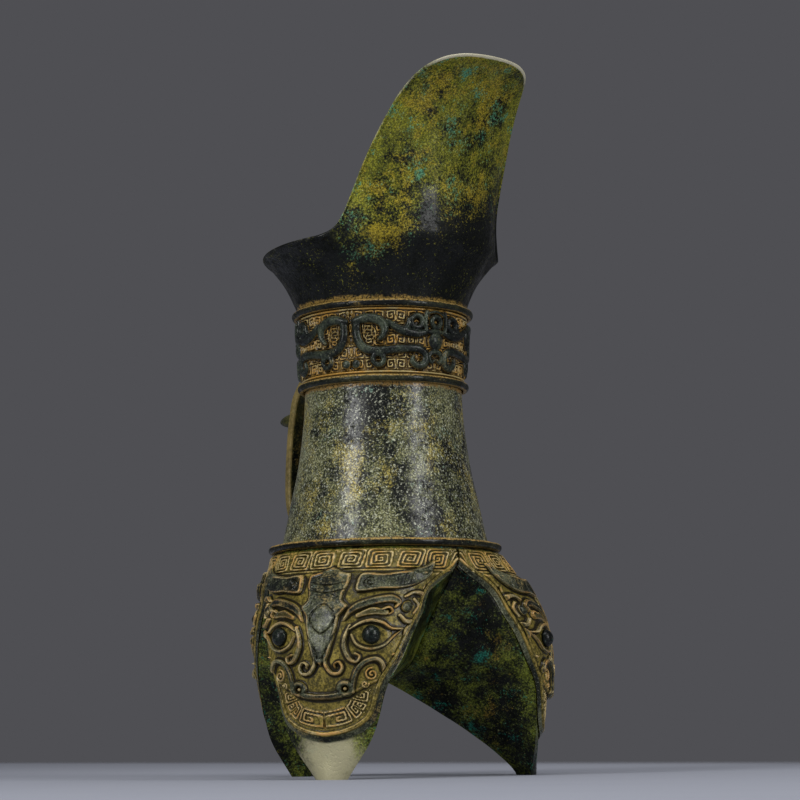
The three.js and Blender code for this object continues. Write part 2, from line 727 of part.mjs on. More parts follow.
// A back that follows the leg closely, and over it the strips, the field and the features as three steps.
function maskSolid() {
  const back = solidOf(faceSheet(JOINT_GAP, BACK_FACE));
  const strips = plateOutline(FACE_BORDER);
  const rows = [[-1, JAW_Z], [1, JAW_Z], [1, BROW_Z], [-1, BROW_Z]].map(([x, z]) => [x * LEG_BULGE_R, z]);
  const field = plateOutline(PLATE_RIM).intersect(new wasm.CrossSection([rows]));
  const steps = [[strips, STRIP_FACE], [field, FIELD_FACE], [features(), MASK_FACE]];
  const slabs = steps.map(([pattern, top]) => pattern.extrude(top - FACE_ROOT));
  const face = laid(slabs, MASK_H / 5, (across, up, lift) => {
    const { radius, half } = faceArc(up);
    return facePoint(up, across / (radius * half), FACE_ROOT + lift);
  });
  const legClearance = solidOf(faceSheet(-LEG_WALL, JOINT_GAP));
  return back.add(face.subtract(legClearance)).intersect(legSector());
}

const MASK = maskSolid();

// The cap of a ball that stands out of the mask, trimmed to the solder gap above it.
function eyeBoss(side) {
  const ball = new THREE.SphereGeometry(EYE_R, 14, 10);
  ball.translate(...facePoint(EYE_Z, EYE_SHARE * side, MASK_FACE + EYE_PROUD - EYE_R));
  const behind = solidOf(faceSheet(-EYE_R * 2, FIELD_FACE));
  const out = polar(JOINT_GAP, faceArc(EYE_Z).half * EYE_SHARE * side, 0);
  return geometryFrom(solidOf(ball).subtract(behind).subtract(MASK.translate(out)));
}

// The knob: a dome with its flat side inside the strap, pointing away from the vessel.
function knobDome() {
  const root = HANDLE_REACH_R - KNOB_ROOT;
  const ball = new THREE.SphereGeometry(1, 16, 12);
  ball.scale(KNOB_REACH_R - root, KNOB_HALF_W, KNOB_HALF_H);
  ball.translate(-root, 0, HANDLE_TOP_Z - KNOB_DROP);
  return solidOf(ball).trimByPlane([-1, 0, 0], root);
}

// A flat strap from the band to the foot of the neck, with the knob at its bend.
function handle() {
  const run = HANDLE_REACH_R - HANDLE_T / 2;
  const [top, foot] = [HANDLE_TOP_Z, HANDLE_FOOT_Z];
  const bend = (inward, down) => new THREE.Vector3(-run + HANDLE_BEND * inward, 0, top - HANDLE_BEND * down);
  const turn = (inward, up) => new THREE.Vector3(-run + HANDLE_TURN * inward, 0, foot + HANDLE_TURN * up);
  const path = new THREE.CatmullRomCurve3([
    new THREE.Vector3(-bandRadius(top) - BAND_RELIEF + HANDLE_ROOT, 0, top),
    bend(0.51, 0.06),
    bend(0.35, 0.21),
    bend(0.2, 0.41),
    bend(0.12, 0.69),
    bend(0.06, 1),
    turn(0, 1.8),
    turn(0, 1),
    turn(0.17, 0.47),
    turn(0.61, 0.12),
    new THREE.Vector3(-neckRadius(foot) + HANDLE_ROOT, 0, foot),
  ]);
  const section = new THREE.Shape();
  section.moveTo(-HANDLE_W / 2, -HANDLE_T / 2);
  section.lineTo(HANDLE_W / 2, -HANDLE_T / 2);
  section.lineTo(HANDLE_W / 2, HANDLE_T / 2);
  section.lineTo(-HANDLE_W / 2, HANDLE_T / 2);
  section.closePath();
  const strap = solidOf(new THREE.ExtrudeGeometry(section, { steps: 36, extrudePath: path }));
  return geometryFrom(strap.add(knobDome()).subtract(wallClearance()));
}

const vessel = new THREE.Group();

function place(name, geometry, material, azimuth = 0) {
  const mesh = new THREE.Mesh(geometry, material);
  mesh.name = name;
  mesh.rotation.z = azimuth * DEG;
  vessel.add(mesh);
  return mesh;
}

place("mouth_and_spout", mouthAndSpout(), GREEN_BRONZE);
place("dragon_band", dragonBand(), OCHRE_BRONZE);
place("waist_neck", waistNeck(), GREEN_BRONZE);
place("band_top_rib", rib(MOUTH_FOOT_R + RIB_SEAT, MOUTH_FOOT_R + RIB_PROUD, BAND_TOP_Z), DARK_BRONZE);
place("band_bottom_rib", rib(BAND_BOTTOM_R, BAND_BOTTOM_R + RIB_PROUD, BAND_BOTTOM_Z), DARK_BRONZE);
const SEAM_Z = SHOULDER_Z + JOINT_GAP + RIB_H / 2; // middle of the shoulder rib, which sits on the legs
place("shoulder_rib", rib(NECK_FOOT_R, SHOULDER_R + RIB_PROUD, SEAM_Z), DARK_BRONZE);
for (const [side, azimuth] of Object.entries(LEG_AZIMUTHS)) {
  place(`leg_${side}`, bagLeg(), GREEN_BRONZE, azimuth);
  place(`mask_plate_${side}`, geometryFrom(MASK), OCHRE_BRONZE, azimuth);
  place(`eye_boss_${side}_left`, eyeBoss(1), DARK_BRONZE, azimuth);
  place(`eye_boss_${side}_right`, eyeBoss(-1), DARK_BRONZE, azimuth);
}
place("handle", handle(), GREEN_BRONZE);

export default vessel;
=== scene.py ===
"""The looks of a bronze tripod pouring vessel: relief masks, a dragon band and an aged, waxed patina.

Shapes are worked out in millimetres and made in metres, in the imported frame's own place.
"""
import logging
import math
from dataclasses import dataclass, field
from enum import Enum
from functools import reduce
from typing import Optional, Sequence, Union

import bpy
import numpy as np
from mathutils import Matrix, Vector


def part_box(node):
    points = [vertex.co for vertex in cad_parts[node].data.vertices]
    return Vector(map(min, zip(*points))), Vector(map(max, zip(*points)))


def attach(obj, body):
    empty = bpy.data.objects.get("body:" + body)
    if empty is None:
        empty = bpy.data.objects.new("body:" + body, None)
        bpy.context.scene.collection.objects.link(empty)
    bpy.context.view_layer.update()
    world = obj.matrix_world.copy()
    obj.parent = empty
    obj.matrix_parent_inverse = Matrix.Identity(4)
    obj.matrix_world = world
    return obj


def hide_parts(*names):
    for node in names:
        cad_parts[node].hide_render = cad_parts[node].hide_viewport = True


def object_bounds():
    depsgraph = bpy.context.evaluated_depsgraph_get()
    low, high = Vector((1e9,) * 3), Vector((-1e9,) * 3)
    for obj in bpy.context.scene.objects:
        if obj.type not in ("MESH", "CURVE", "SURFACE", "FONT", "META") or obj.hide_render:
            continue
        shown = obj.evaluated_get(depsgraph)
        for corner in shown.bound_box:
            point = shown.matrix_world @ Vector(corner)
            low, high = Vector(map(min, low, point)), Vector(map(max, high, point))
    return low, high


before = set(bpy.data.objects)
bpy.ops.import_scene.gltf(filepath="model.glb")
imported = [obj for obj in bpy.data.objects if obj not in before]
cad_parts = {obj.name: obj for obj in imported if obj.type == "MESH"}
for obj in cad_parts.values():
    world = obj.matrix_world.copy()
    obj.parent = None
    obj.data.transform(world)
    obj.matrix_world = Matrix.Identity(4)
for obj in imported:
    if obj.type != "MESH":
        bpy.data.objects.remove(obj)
CAD_LOW, CAD_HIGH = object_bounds()

MM = 0.001
WAVE_COUNT = 7
WAVE_SPREAD = (0.6, 1.6)
NOISE_MEAN = 0.5
BODY_SEGMENTS = 36
BACK_STEP = 4
EDGE_STRENGTH = 2.4
SHARP, DOME_SHARP, RELIEF_SHARP = 50.0, 40.0, 75.0
log = logging.getLogger("vessel")

Colour = tuple[float, float, float]
Value = Union["Link", float]
Spot = tuple[float, float]
Width = Union[float, Sequence[float]]
Paint = Union["Link", Colour]
Parts = tuple[float, ...]


class Slot(Enum):
    """The record's material slots."""

    GREEN = "green_bronze"
    DARK = "dark_bronze"
    OCHRE = "ochre_bronze"


class Curve:
    """A smooth curve through stations, held level past its ends."""

    def __init__(self, *points: Spot) -> None:
        """Works out the slope at each station.

        Args:
            points: The stations (x, y) in order of x.
        """
        self.x, self.y = np.array(points, float).T
        count = len(points)
        low = np.maximum(np.arange(count) - 1, 0)
        high = np.minimum(np.arange(count) + 1, count - 1)
        self.slope = (self.y[high] - self.y[low]) / (self.x[high] - self.x[low])

    def __call__(self, x: np.ndarray) -> np.ndarray:
        """Reads the curve.

        Args:
            x: Where to read it.

        Returns:
            Its height there.
        """
        x = np.clip(x, self.x[0], self.x[-1])
        i = np.clip(np.searchsorted(self.x, x, side="right") - 1, 0, len(self.x) - 2)
        span = self.x[i + 1] - self.x[i]
        t = (x - self.x[i]) / span
        start = (2 * t**3 - 3 * t**2 + 1) * self.y[i] + (t**3 - 2 * t**2 + t) * span * self.slope[i]
        return start + (3 * t**2 - 2 * t**3) * self.y[i + 1] + (t**3 - t**2) * span * self.slope[i + 1]


def eased(x: np.ndarray, low: float, high: float) -> np.ndarray:
    """A smooth step.

    Args:
        x: Values to step.
        low: The value that gives 0.
        high: The value that gives 1.

    Returns:
        The stepped values.
    """
    t = np.clip((x - low) / (high - low), 0, 1)
    return t * t * (3 - 2 * t)


def smooth_path(points: Sequence[Spot], closed: bool = False, steps: int = 6) -> np.ndarray:
    """A smooth line through points.

    Args:
        points: The points (across, up).
        closed: Whether the line ends where it starts.
        steps: Pieces between two points.

    Returns:
        The line's points.
    """
    p = np.array(points, float)
    if closed:
        p = np.vstack([p[-1:], p, p[:2]])
    else:
        p = np.vstack([2 * p[:1] - p[1:2], p, 2 * p[-1:] - p[-2:-1]])
    line = []
    for a, b, c, d in zip(p, p[1:], p[2:], p[3:]):
        for t in np.arange(steps) / steps:
            line.append(0.5 * (2 * b + (c - a) * t + (2 * a - 5 * b + 4 * c - d) * t**2
                               + (3 * b - a - 3 * c + d) * t**3))
    line.append(p[-2])
    return np.array(line)


def waves(points: np.ndarray, feature: float, seed: int) -> np.ndarray:
    """Soft hand-made unevenness over a surface.

    Args:
        points: Points in mm, in the last axis.
        feature: Rough length of a wave in mm.
        seed: Which pattern.

    Returns:
        A value from about -1 to 1 at each point.
    """
    rng = np.random.default_rng(seed)
    total = np.zeros(points.shape[:-1])
    for _ in range(WAVE_COUNT):
        way = rng.normal(size=3)
        way *= 2 * math.pi / feature * rng.uniform(*WAVE_SPREAD) / np.linalg.norm(way)
        total += np.sin(points @ way + rng.uniform(0, 2 * math.pi))
    return total / (WAVE_COUNT / 2)


def turns(count: int) -> np.ndarray:
    """Angles in radians, evenly round a circle from 0."""
    return np.arange(count) / count * 2 * math.pi


def ring_points(radius: np.ndarray, angle: np.ndarray, height: np.ndarray) -> np.ndarray:
    """Points round the vessel's axis.

    Args:
        radius: Distances from the axis.
        angle: Angles from the spout in radians.
        height: Heights.

    Returns:
        The points, in the last axis.
    """
    return np.stack([radius * np.cos(angle), radius * np.sin(angle), height + 0 * angle], axis=-1)


def grid_faces(rows: int, columns: int, ring: bool, first: int = 0) -> np.ndarray:
    """Faces of a grid of points.

    Args:
        rows: Its rows of points.
        columns: Its columns of points.
        ring: Whether its last column joins its first.
        first: The number of its first point.

    Returns:
        Four point numbers for each face.
    """
    k = np.arange(rows - 1)[:, None]
    i = np.arange(columns if ring else columns - 1)[None, :]
    j = (i + 1) % columns
    corners = [k * columns + i, k * columns + j, (k + 1) * columns + j, (k + 1) * columns + i]
    return np.stack([c.ravel() for c in corners], axis=1) + first


def standing(height: np.ndarray, cells: int) -> np.ndarray:
    """How far each point of a relief stands over what is round it.

    Args:
        height: Heights over a grid.
        cells: How many points off still count as near.

    Returns:
        The height over the near points' average: below 0 in grooves, above 0 on edges and lines.
    """
    weight = np.hanning(2 * cells + 3)[1:-1]
    weight /= weight.sum()
    level = height
    for axis in (0, 1):
        pads = [(cells, cells) if axis == way else (0, 0) for way in (0, 1)]
        padded = np.pad(level, pads, mode="edge")
        size = level.shape[axis]
        level = sum(w * np.take(padded, np.arange(k, k + size), axis) for k, w in enumerate(weight))
    return height - level


@dataclass
class Sheet:
    """A solid between a front grid of points and a coarser back grid, joined round their edges."""

    name: str
    front: np.ndarray
    back: np.ndarray
    ring: bool
    marks: dict[str, np.ndarray] = field(default_factory=dict)
    sharp: float = SHARP
    capped: bool = False

    def _loops(self, rows: int, columns: int, first: int) -> list[np.ndarray]:
        """Edges of one grid, anticlockwise seen from the front.

        Args:
            rows: Its rows of points.
            columns: Its columns of points.
            first: The number of its first point.

        Returns:
            The point numbers of each closed edge.
        """
        at = np.arange(rows * columns).reshape(rows, columns) + first
        if self.ring:
            return [at[0], at[-1][::-1]]
        return [np.concatenate([at[0, :-1], at[:-1, -1], at[-1, :0:-1], at[:0:-1, 0]])]

    def _stitch(self, fine: np.ndarray, coarse: np.ndarray) -> list[tuple[int, ...]]:
        """Joins a fine edge to a coarse one.

        Args:
            fine: Point numbers of the front's edge.
            coarse: Point numbers of the back's edge.

        Returns:
            Triangles between them.
        """
        per = len(fine) // len(coarse)
        middle = (per + 1) // 2
        faces = []
        for k, near in enumerate(coarse):
            far = coarse[(k + 1) % len(coarse)]
            run = [fine[(k * per + i) % len(fine)] for i in range(per + 1)]
            faces += [(run[i + 1], run[i], near) for i in range(middle)]
            faces.append((run[middle], near, far))
            faces += [(run[i + 1], run[i], far) for i in range(middle, per)]
        return faces

    def build(self) -> bpy.types.Object:
        """Makes the solid.

        Returns:
            The new object, in the scene.
        """
        rows, columns = self.front.shape[:2]
        back_rows, back_columns = self.back.shape[:2]
        first_back = rows * columns
        faces = grid_faces(rows, columns, self.ring).tolist()
        faces += grid_faces(back_rows, back_columns, self.ring, first_back)[:, ::-1].tolist()
        fronts = self._loops(rows, columns, 0)
        backs = self._loops(back_rows, back_columns, first_back)
        if self.ring:
            fronts[1] = np.roll(fronts[1], 1 - columns // back_columns)
        if self.capped:
            faces += [tuple(fronts.pop(0)[::-1].tolist()), tuple(backs.pop(0).tolist())]
        for fine, coarse in zip(fronts, backs):
            faces += self._stitch(fine, coarse)
        points = np.vstack([self.front.reshape(-1, 3), self.back.reshape(-1, 3)])
        behind = np.zeros(len(points) - first_back)
        marks = {mark: np.concatenate([values.ravel(), behind]) for mark, values in self.marks.items()}
        return make_piece(self.name, points, faces, self.sharp, marks)


def make_piece(name: str, points: np.ndarray, faces: list, sharp: float,
               marks: Optional[dict[str, np.ndarray]] = None) -> bpy.types.Object:
    """Makes one mesh object.

    Args:
        name: Its name.
        points: Its points in mm.
        faces: Its faces.
        sharp: Degrees from which an edge is sharp.
        marks: Values by name for each point, which its finish reads.

    Returns:
        The new object, in the scene.
    """
    mesh = bpy.data.meshes.new(name)
    mesh.from_pydata((points.reshape(-1, 3) * MM).tolist(), [], faces)
    for mark, values in (marks or {}).items():
        mesh.attributes.new(mark, "FLOAT", "POINT").data.foreach_set("value", values.astype(np.float32))
    mesh.shade_smooth()
    mesh.set_sharp_from_angle(angle=math.radians(sharp))
    piece = bpy.data.objects.new(name, mesh)
    bpy.context.scene.collection.objects.link(piece)
    return piece


def round_body(name: str, centre: np.ndarray, out: np.ndarray, profile: Sequence[Spot],
               squash: float = 1.0) -> bpy.types.Object:
    """A body turned about the level line that it points along.

    Args:
        name: Its name.
        centre: The middle of its base in mm.
        out: The direction it points in.
        profile: Its [radius, height] points from base to tip.
        squash: Its upright width over its level width.

    Returns:
        The new object.
    """
    side = np.array([-out[1], out[0], 0.0])
    up = np.array([0.0, 0.0, squash])
    angle = turns(BODY_SEGMENTS)[:, None]
    spokes = side * np.cos(angle) + up * np.sin(angle)
    rings = [centre + out * height + radius * spokes for radius, height in profile[:-1]]
    points = np.vstack([*rings, centre + out * profile[-1][1]])
    tip = len(points) - 1
    last = np.arange(tip - BODY_SEGMENTS, tip)
    faces = grid_faces(len(rings), BODY_SEGMENTS, True).tolist()
    faces += [(i, j, tip) for i, j in zip(last.tolist(), np.roll(last, -1).tolist())]
    faces.append(tuple(range(BODY_SEGMENTS - 1, -1, -1)))
    return make_piece(name, points, faces, DOME_SHARP)


class Relief:
    """Heights in mm over a flat chart of a surface, cast up from straps, plates, rings and lines."""

    MARGIN = 0.1
    LINE_SLOPE = 0.8
    LIP_MIDDLE = 0.75
    LIP_EDGE = (0.15, 0.6)
    PLATE_STEPS = 5
    COIL_STEPS = 10
    COIL_SHRINK = 0.86
    CELL_SPREAD = 2.12
    CELL_LIMIT = 1.03
    SQUARENESS = 8
    RIDGE_EDGE = (0.45, 0.85)

    def __init__(self, across: np.ndarray, up: np.ndarray) -> None:
        """Starts level.

        Args:
            across: Each point's place along the surface in mm.
            up: Each point's height in mm.
        """
        self.form = across.shape
        self.across = across.ravel()
        self.up = up.ravel()
        self.height = np.zeros(across.size)

    def near(self, path: np.ndarray, reach: float) -> np.ndarray:
        """Points of the chart that may lie within reach of a path.

        Args:
            path: The path's points.
            reach: How far.

        Returns:
            Their numbers.
        """
        low, high = path.min(axis=0) - reach, path.max(axis=0) + reach
        inside = (self.across > low[0]) & (self.across < high[0]) & (self.up > low[1]) & (self.up < high[1])
        return np.nonzero(inside)[0]

    def gap(self, path: np.ndarray, spots: np.ndarray) -> tuple[np.ndarray, np.ndarray]:
        """How far points lie from a path.

        Args:
            path: The path's points.
            spots: The numbers of the points.

        Returns:
            The distances, and the share of the path's length where each is nearest.
        """
        x, y = self.across[spots], self.up[spots]
        best = np.full(spots.size, np.inf)
        share = np.zeros(spots.size)
        for k, (a, b) in enumerate(zip(path[:-1], path[1:])):
            step = b - a
            t = np.clip(((x - a[0]) * step[0] + (y - a[1]) * step[1]) / max(step @ step, 1e-9), 0, 1)
            far = np.hypot(x - a[0] - t * step[0], y - a[1] - t * step[1])
            closer = far < best
            best[closer] = far[closer]
            share[closer] = k + t[closer]
        return best, share / (len(path) - 1)

    def along(self, points: Sequence[Spot], width: Width,
              closed: bool = False) -> tuple[np.ndarray, np.ndarray, np.ndarray]:
        """Points of the chart near a smooth line.

        Args:
            points: The line's points.
            width: Its width, or widths spread evenly along it.
            closed: Whether it ends where it starts.

        Returns:
            Their numbers, how far they lie from it, and half of its width where each is nearest.
        """
        path = smooth_path(points, closed)
        spots = self.near(path, float(np.max(width)) / 2 + self.MARGIN)
        far, share = self.gap(path, spots)
        widths = np.atleast_1d(width)
        return spots, far, np.interp(share, np.linspace(0, 1, len(widths)), widths) / 2

    def strap(self, points: Sequence[Spot], width: Width, height: float, bevel: float = 0.4,
              round_top: bool = False) -> None:
        """Raises a strap along a smooth line.

        Args:
            points: The line's points.
            width: Its width, or widths along it.
            height: Its top over the chart's level.
            bevel: Width of its slanted side.
            round_top: Whether its section is round instead of flat.
        """
        spots, far, half = self.along(points, width)
        if round_top:
            rise = np.sqrt(np.clip(1 - (far / half) ** 2, 0, 1))
        else:
            rise = eased(half - far, 0, bevel)
        self.height[spots] = np.maximum(self.height[spots], height * rise)

    def line(self, points: Sequence[Spot], width: Width, rise: float, closed: bool = False) -> None:
        """Adds a thin line, raised or sunk.

        Args:
            points: The line's points.
            width: Its width, or widths along it.
            rise: Its height, below 0 for a groove.
            closed: Whether it ends where it starts.
        """
        spots, far, half = self.along(points, width, closed)
        self.height[spots] += rise * eased(1 - far / half, 0, self.LINE_SLOPE)

    def plate(self, outline: Sequence[Spot], height: float, bevel: float, lip: float) -> None:
        """Raises the inside of a closed outline, with a lip along its edge.

        Args:
            outline: The outline's points in order.
            height: Its top over the chart's level.
            bevel: Width of its slanted side.
            lip: How much the edge stands over the top.
        """
        path = smooth_path(outline, True, self.PLATE_STEPS)
        spots = self.near(path, self.MARGIN)
        far, _ = self.gap(path, spots)
        x, y = self.across[spots], self.up[spots]
        inside = np.zeros(spots.size, bool)
        for a, b in zip(path[:-1], path[1:]):
            spans = (a[1] > y) != (b[1] > y)
            cross = a[0] + (y - a[1]) / (b[1] - a[1] + 1e-12) * (b[0] - a[0])
            inside ^= spans & (x < cross)
        rise = inside * eased(far, 0, bevel) * height
        rise += inside * lip * (1 - eased(np.abs(far - self.LIP_MIDDLE), *self.LIP_EDGE))
        self.height[spots] = np.maximum(self.height[spots], rise)

    def dome(self, centre: Spot, radius: float, height: float, hole: float = 0.0) -> None:
        """Raises a round boss, or a ring round a hole.

        Args:
            centre: Its middle.
            radius: Its outer radius.
            height: Its top over the chart's level.
            hole: The radius of its hole.
        """
        spots = self.near(np.array([centre]), radius)
        far = np.hypot(self.across[spots] - centre[0], self.up[spots] - centre[1])
        middle, half = (radius + hole) / 2, (radius - hole) / 2
        off = np.abs(far - middle) / half if hole else far / radius
        rise = np.sqrt(np.clip(1 - off**2, 0, 1)) * height
        self.height[spots] = np.maximum(self.height[spots], rise)

    def coil(self, centre: Spot, radius: float, winds: float, start: float, hand: int, width: float,
             rise: float) -> None:
        """Adds a spiral line.

        Args:
            centre: Its middle.
            radius: Its outer radius.
            winds: How many times it goes round.
            start: Degrees at which its outer end lies.
            hand: 1 for anticlockwise inwards, -1 for clockwise.
            width: The line's width.
            rise: Its height, below 0 for a groove.
        """
        t = np.linspace(0, 1, int(self.COIL_STEPS * winds) + 3)
        angle = math.radians(start) + hand * winds * 2 * math.pi * t
        out = radius * (1 - self.COIL_SHRINK * t)
        path = [(centre[0] + r * math.cos(a), centre[1] + r * math.sin(a)) for r, a in zip(out, angle)]
        self.line(path, width, rise)

    def thunder(self, where: np.ndarray, cell: Spot, origin: Spot, winds: float, rise: float,
                chart: Optional[tuple[np.ndarray, np.ndarray]] = None) -> None:
        """Fills part of the chart with square spirals, side by side.

        Args:
            where: How much each point takes part, from 0 to 1.
            cell: Width and height of a spiral's square.
            origin: A corner where four squares meet.
            winds: How many times each spiral goes round.
            rise: Height of its lines.
            chart: Other places across and up that the squares follow.
        """
        across, up = chart or (self.across, self.up)
        column = np.floor((across - origin[0]) / cell[0])
        row = np.floor((up - origin[1]) / cell[1])
        flip = np.where((column + row) % 2 == 0, 1.0, -1.0)
        x = ((across - origin[0]) / cell[0] - column - 0.5) * self.CELL_SPREAD * flip
        y = ((up - origin[1]) / cell[1] - row - 0.5) * self.CELL_SPREAD
        power = self.SQUARENESS
        square = (np.abs(x) ** power + np.abs(y) ** power) ** (1 / power)
        phase = square * winds - np.arctan2(y, x) / (2 * math.pi)
        ridge = eased(0.5 + 0.5 * np.cos(2 * math.pi * phase), *self.RIDGE_EDGE)
        self.height += where.ravel() * rise * ridge * (square < self.CELL_LIMIT)

    def shaped(self) -> np.ndarray:
        """The heights in the chart's own shape.

        Returns:
            One height for each point of the grid.
        """
        return self.height.reshape(self.form)


class Link:
    """A node's output, with arithmetic that adds Math nodes."""

    def __init__(self, tree: "Tree", socket: Optional[bpy.types.NodeSocket]) -> None:
        """Wraps a socket of a tree.

        Args:
            tree: The tree that the socket's node is in.
            socket: The output socket, or none where the node has none.
        """
        self.tree = tree
        self.socket = socket

    def _math(self, operation: str, *values: Value) -> "Link":
        """Adds one Math node.

        Args:
            operation: The node's operation.
            values: Its inputs in order.

        Returns:
            The node's output.
        """
        return self.tree.node("ShaderNodeMath", {"operation": operation}, dict(enumerate(values)))

    def __add__(self, other: Value) -> "Link":
        """Self plus other."""
        return self._math("ADD", self, other)

    def __radd__(self, other: float) -> "Link":
        """Other plus self."""
        return self._math("ADD", other, self)

    def __sub__(self, other: Value) -> "Link":
        """Self less other."""
        return self._math("SUBTRACT", self, other)

    def __rsub__(self, other: float) -> "Link":
        """Other less self."""
        return self._math("SUBTRACT", other, self)

    def __mul__(self, other: Value) -> "Link":
        """Self times other."""
        return self._math("MULTIPLY", self, other)

    def __rmul__(self, other: float) -> "Link":
        """Other times self."""
        return self._math("MULTIPLY", other, self)

    def swing(self, amount: float) -> "Link":
        """Noise about 0 instead of its mean, times an amount."""
        return (self - NOISE_MEAN) * amount

    def step(self, edge: Spot, level: float = 0.0) -> "Link":
        """A smooth step of this value.

        Args:
            edge: The values that give 0 and 1.
            level: What both are counted from.

        Returns:
            The stepped value, from 0 to 1.
        """
        settings = {"interpolation_type": "SMOOTHSTEP"}
        sockets = {"Value": self, "From Min": level + edge[0], "From Max": level + edge[1]}
        return self.tree.node("ShaderNodeMapRange", settings, sockets)


def blend(parts: Sequence[float], *values: Link) -> Link:
    """Values added up, each times its part."""
    return reduce(Link.__add__, [value * part for value, part in zip(values, parts)])


class Pattern(Enum):
    """Noise patterns: size of the blotches in metres, finer layers, shift, and the layers' strength."""

    CLOUD = (21 * MM, 3.0, 0.0, 0.6)
    MOTTLE = (4.5 * MM, 5.0, 3.1, 0.7)
    GRAIN = (0.75 * MM, 3.0, 5.7, 0.7)
    RUST = (14 * MM, 4.0, 9.9, 0.7)
    MINERAL = (8 * MM, 6.0, 12.9, 0.75)
    SPECK = (0.8 * MM, 4.0, 17.3, 0.65)
    DUST = (0.5 * MM, 2.0, 19.1, 0.5)
    CASTING = (2.4 * MM, 6.0, 1.3, 0.75)
    PITS = (0.8 * MM, 3.0, 2.9, 0.6)
    WEAR = (6 * MM, 6.0, 21.0, 0.75)
    PATCH = (1.3 * MM, 5.0, 25.0, 0.75)
    RUB = (7 * MM, 3.0, 27.0, 0.6)
    SOIL = (5 * MM, 3.0, 28.0, 0.6)
    SAND = (0.6 * MM, 3.0, 29.0, 0.6)
    CRUMB = (0.9 * MM, 4.0, 31.0, 0.7)
    DRIFT = (8 * MM, 4.0, 33.0, 0.65)
    TABLE = (50 * MM, 3.0, 0.0, 0.6)


class Tree:
    """The node tree of one material or world."""

    SEED_WAY = (1.0, 0.7, 1.3)

    def __init__(self, owner: Union[bpy.types.Material, bpy.types.World]) -> None:
        """Starts an empty tree.

        Args:
            owner: What the tree belongs to.
        """
        self.owner = owner
        owner.use_nodes = True
        self.tree = owner.node_tree
        self.tree.nodes.clear()

    def node(self, kind: str, settings: Optional[dict] = None, sockets: Optional[dict] = None,
             output: Union[int, str] = 0) -> Link:
        """Adds one node.

        Args:
            kind: The node's type.
            settings: Its own properties, which are set first.
            sockets: Values or links by input name or number.
            output: The output to return, by name or number.

        Returns:
            That output.
        """
        made = self.tree.nodes.new(kind)
        for key, value in (settings or {}).items():
            setattr(made, key, value)
        for key, value in (sockets or {}).items():
            if isinstance(value, Link):
                self.tree.links.new(value.socket, made.inputs[key])
            elif isinstance(value, tuple) and len(value) == 3 and made.inputs[key].type == "RGBA":
                made.inputs[key].default_value = (*value, 1.0)
            else:
                made.inputs[key].default_value = value
        return Link(self, made.outputs[output] if made.outputs else None)

    def place(self) -> Link:
        """The surface point in the object's own frame."""
        return self.node("ShaderNodeTexCoord", output="Object")

    def axis(self, name: str) -> Link:
        """One coordinate of the surface point, X, Y or Z, in metres."""
        return self.node("ShaderNodeSeparateXYZ", None, {0: self.place()}, name)

    def attribute(self, name: str) -> Link:
        """A value kept with the mesh's points."""
        return self.node("ShaderNodeAttribute", {"attribute_name": name}, None, "Fac")

    def noise(self, pattern: Pattern, seed: float = 0.0, stretch: float = 1.0) -> Link:
        """Soft noise.

        Args:
            pattern: Its kind.
            seed: A shift that makes it a finish's own.
            stretch: How much longer the blotches are upwards.

        Returns:
            The noise, near its mean on average.
        """
        feature, detail, shift, roughness = pattern.value
        seed += shift
        away = tuple(seed * part for part in self.SEED_WAY)
        moved = {0: self.place(), 1: (1.0, 1.0, 1.0 / stretch), 2: away}
        at = self.node("ShaderNodeVectorMath", {"operation": "MULTIPLY_ADD"}, moved)
        sockets = {"Vector": at, "Scale": 1.0 / feature, "Detail": detail, "Roughness": roughness}
        return self.node("ShaderNodeTexNoise", None, sockets)

    def coats(self, ground: Paint, *coats: tuple[Value, Paint]) -> Link:
        """A ground colour under coats laid one after another.

        Args:
            ground: The lowest colour.
            coats: How much of each coat shows, and its colour.

        Returns:
            The colour of them all.
        """
        for share, colour in coats:
            sockets = {"Factor": share, 6: ground, 7: colour}
            ground = self.node("ShaderNodeMix", {"data_type": "RGBA"}, sockets, output=2)
        return ground

    def finish(self, sockets: dict) -> bpy.types.Material:
        """Ends the material in a metal and patina shader.

        Args:
            sockets: The shader's values and links.

        Returns:
            The finished material.
        """
        shader = self.node("ShaderNodeBsdfPrincipled", None, sockets)
        self.node("ShaderNodeOutputMaterial", None, {"Surface": shader})
        return self.owner


def srgb(red: int, green: int, blue: int) -> Colour:
    """A screen colour as the linear colour that a shader takes.

    Args:
        red: From 0 to 255.
        green: From 0 to 255.
        blue: From 0 to 255.

    Returns:
        The linear colour.
    """
    shares = (level / 255 for level in (red, green, blue))
    return tuple(s / 12.92 if s <= 0.04045 else ((s + 0.055) / 1.055) ** 2.4 for s in shares)


class Edge:
    """Where each layer of a finish starts and is full, from the finish's own level or from 0."""

    BODY = (-0.035, 0.035)
    OLIVE = (-0.03, 0.07)
    OCHRE = (-0.04, 0.05)
    MINERAL = (0.0, 0.06)
    PALE = (0.0, 0.08)
    DUST = (0.42, 0.6)
    SHADE = (0.2, 0.7)
    DARK_SPECK = (0.58, 0.66)
    SOIL = (0.35, 0.9)
    SAND = (0.34, 0.56)
    RUBBED_AND_LIT = (0.3, 1.0)
    PITS = (0.32, 0.5)
    DULL = (0.4, 0.6)
    WAXED = (0.62, 0.42)
    FIELD = (0.42, 0.6)
    GROOVE = (0.12, 0.5)
    LINE = (0.14, 0.55)
    TOP = (0.6, 1.8)
    FACE = (-0.1, 0.1)


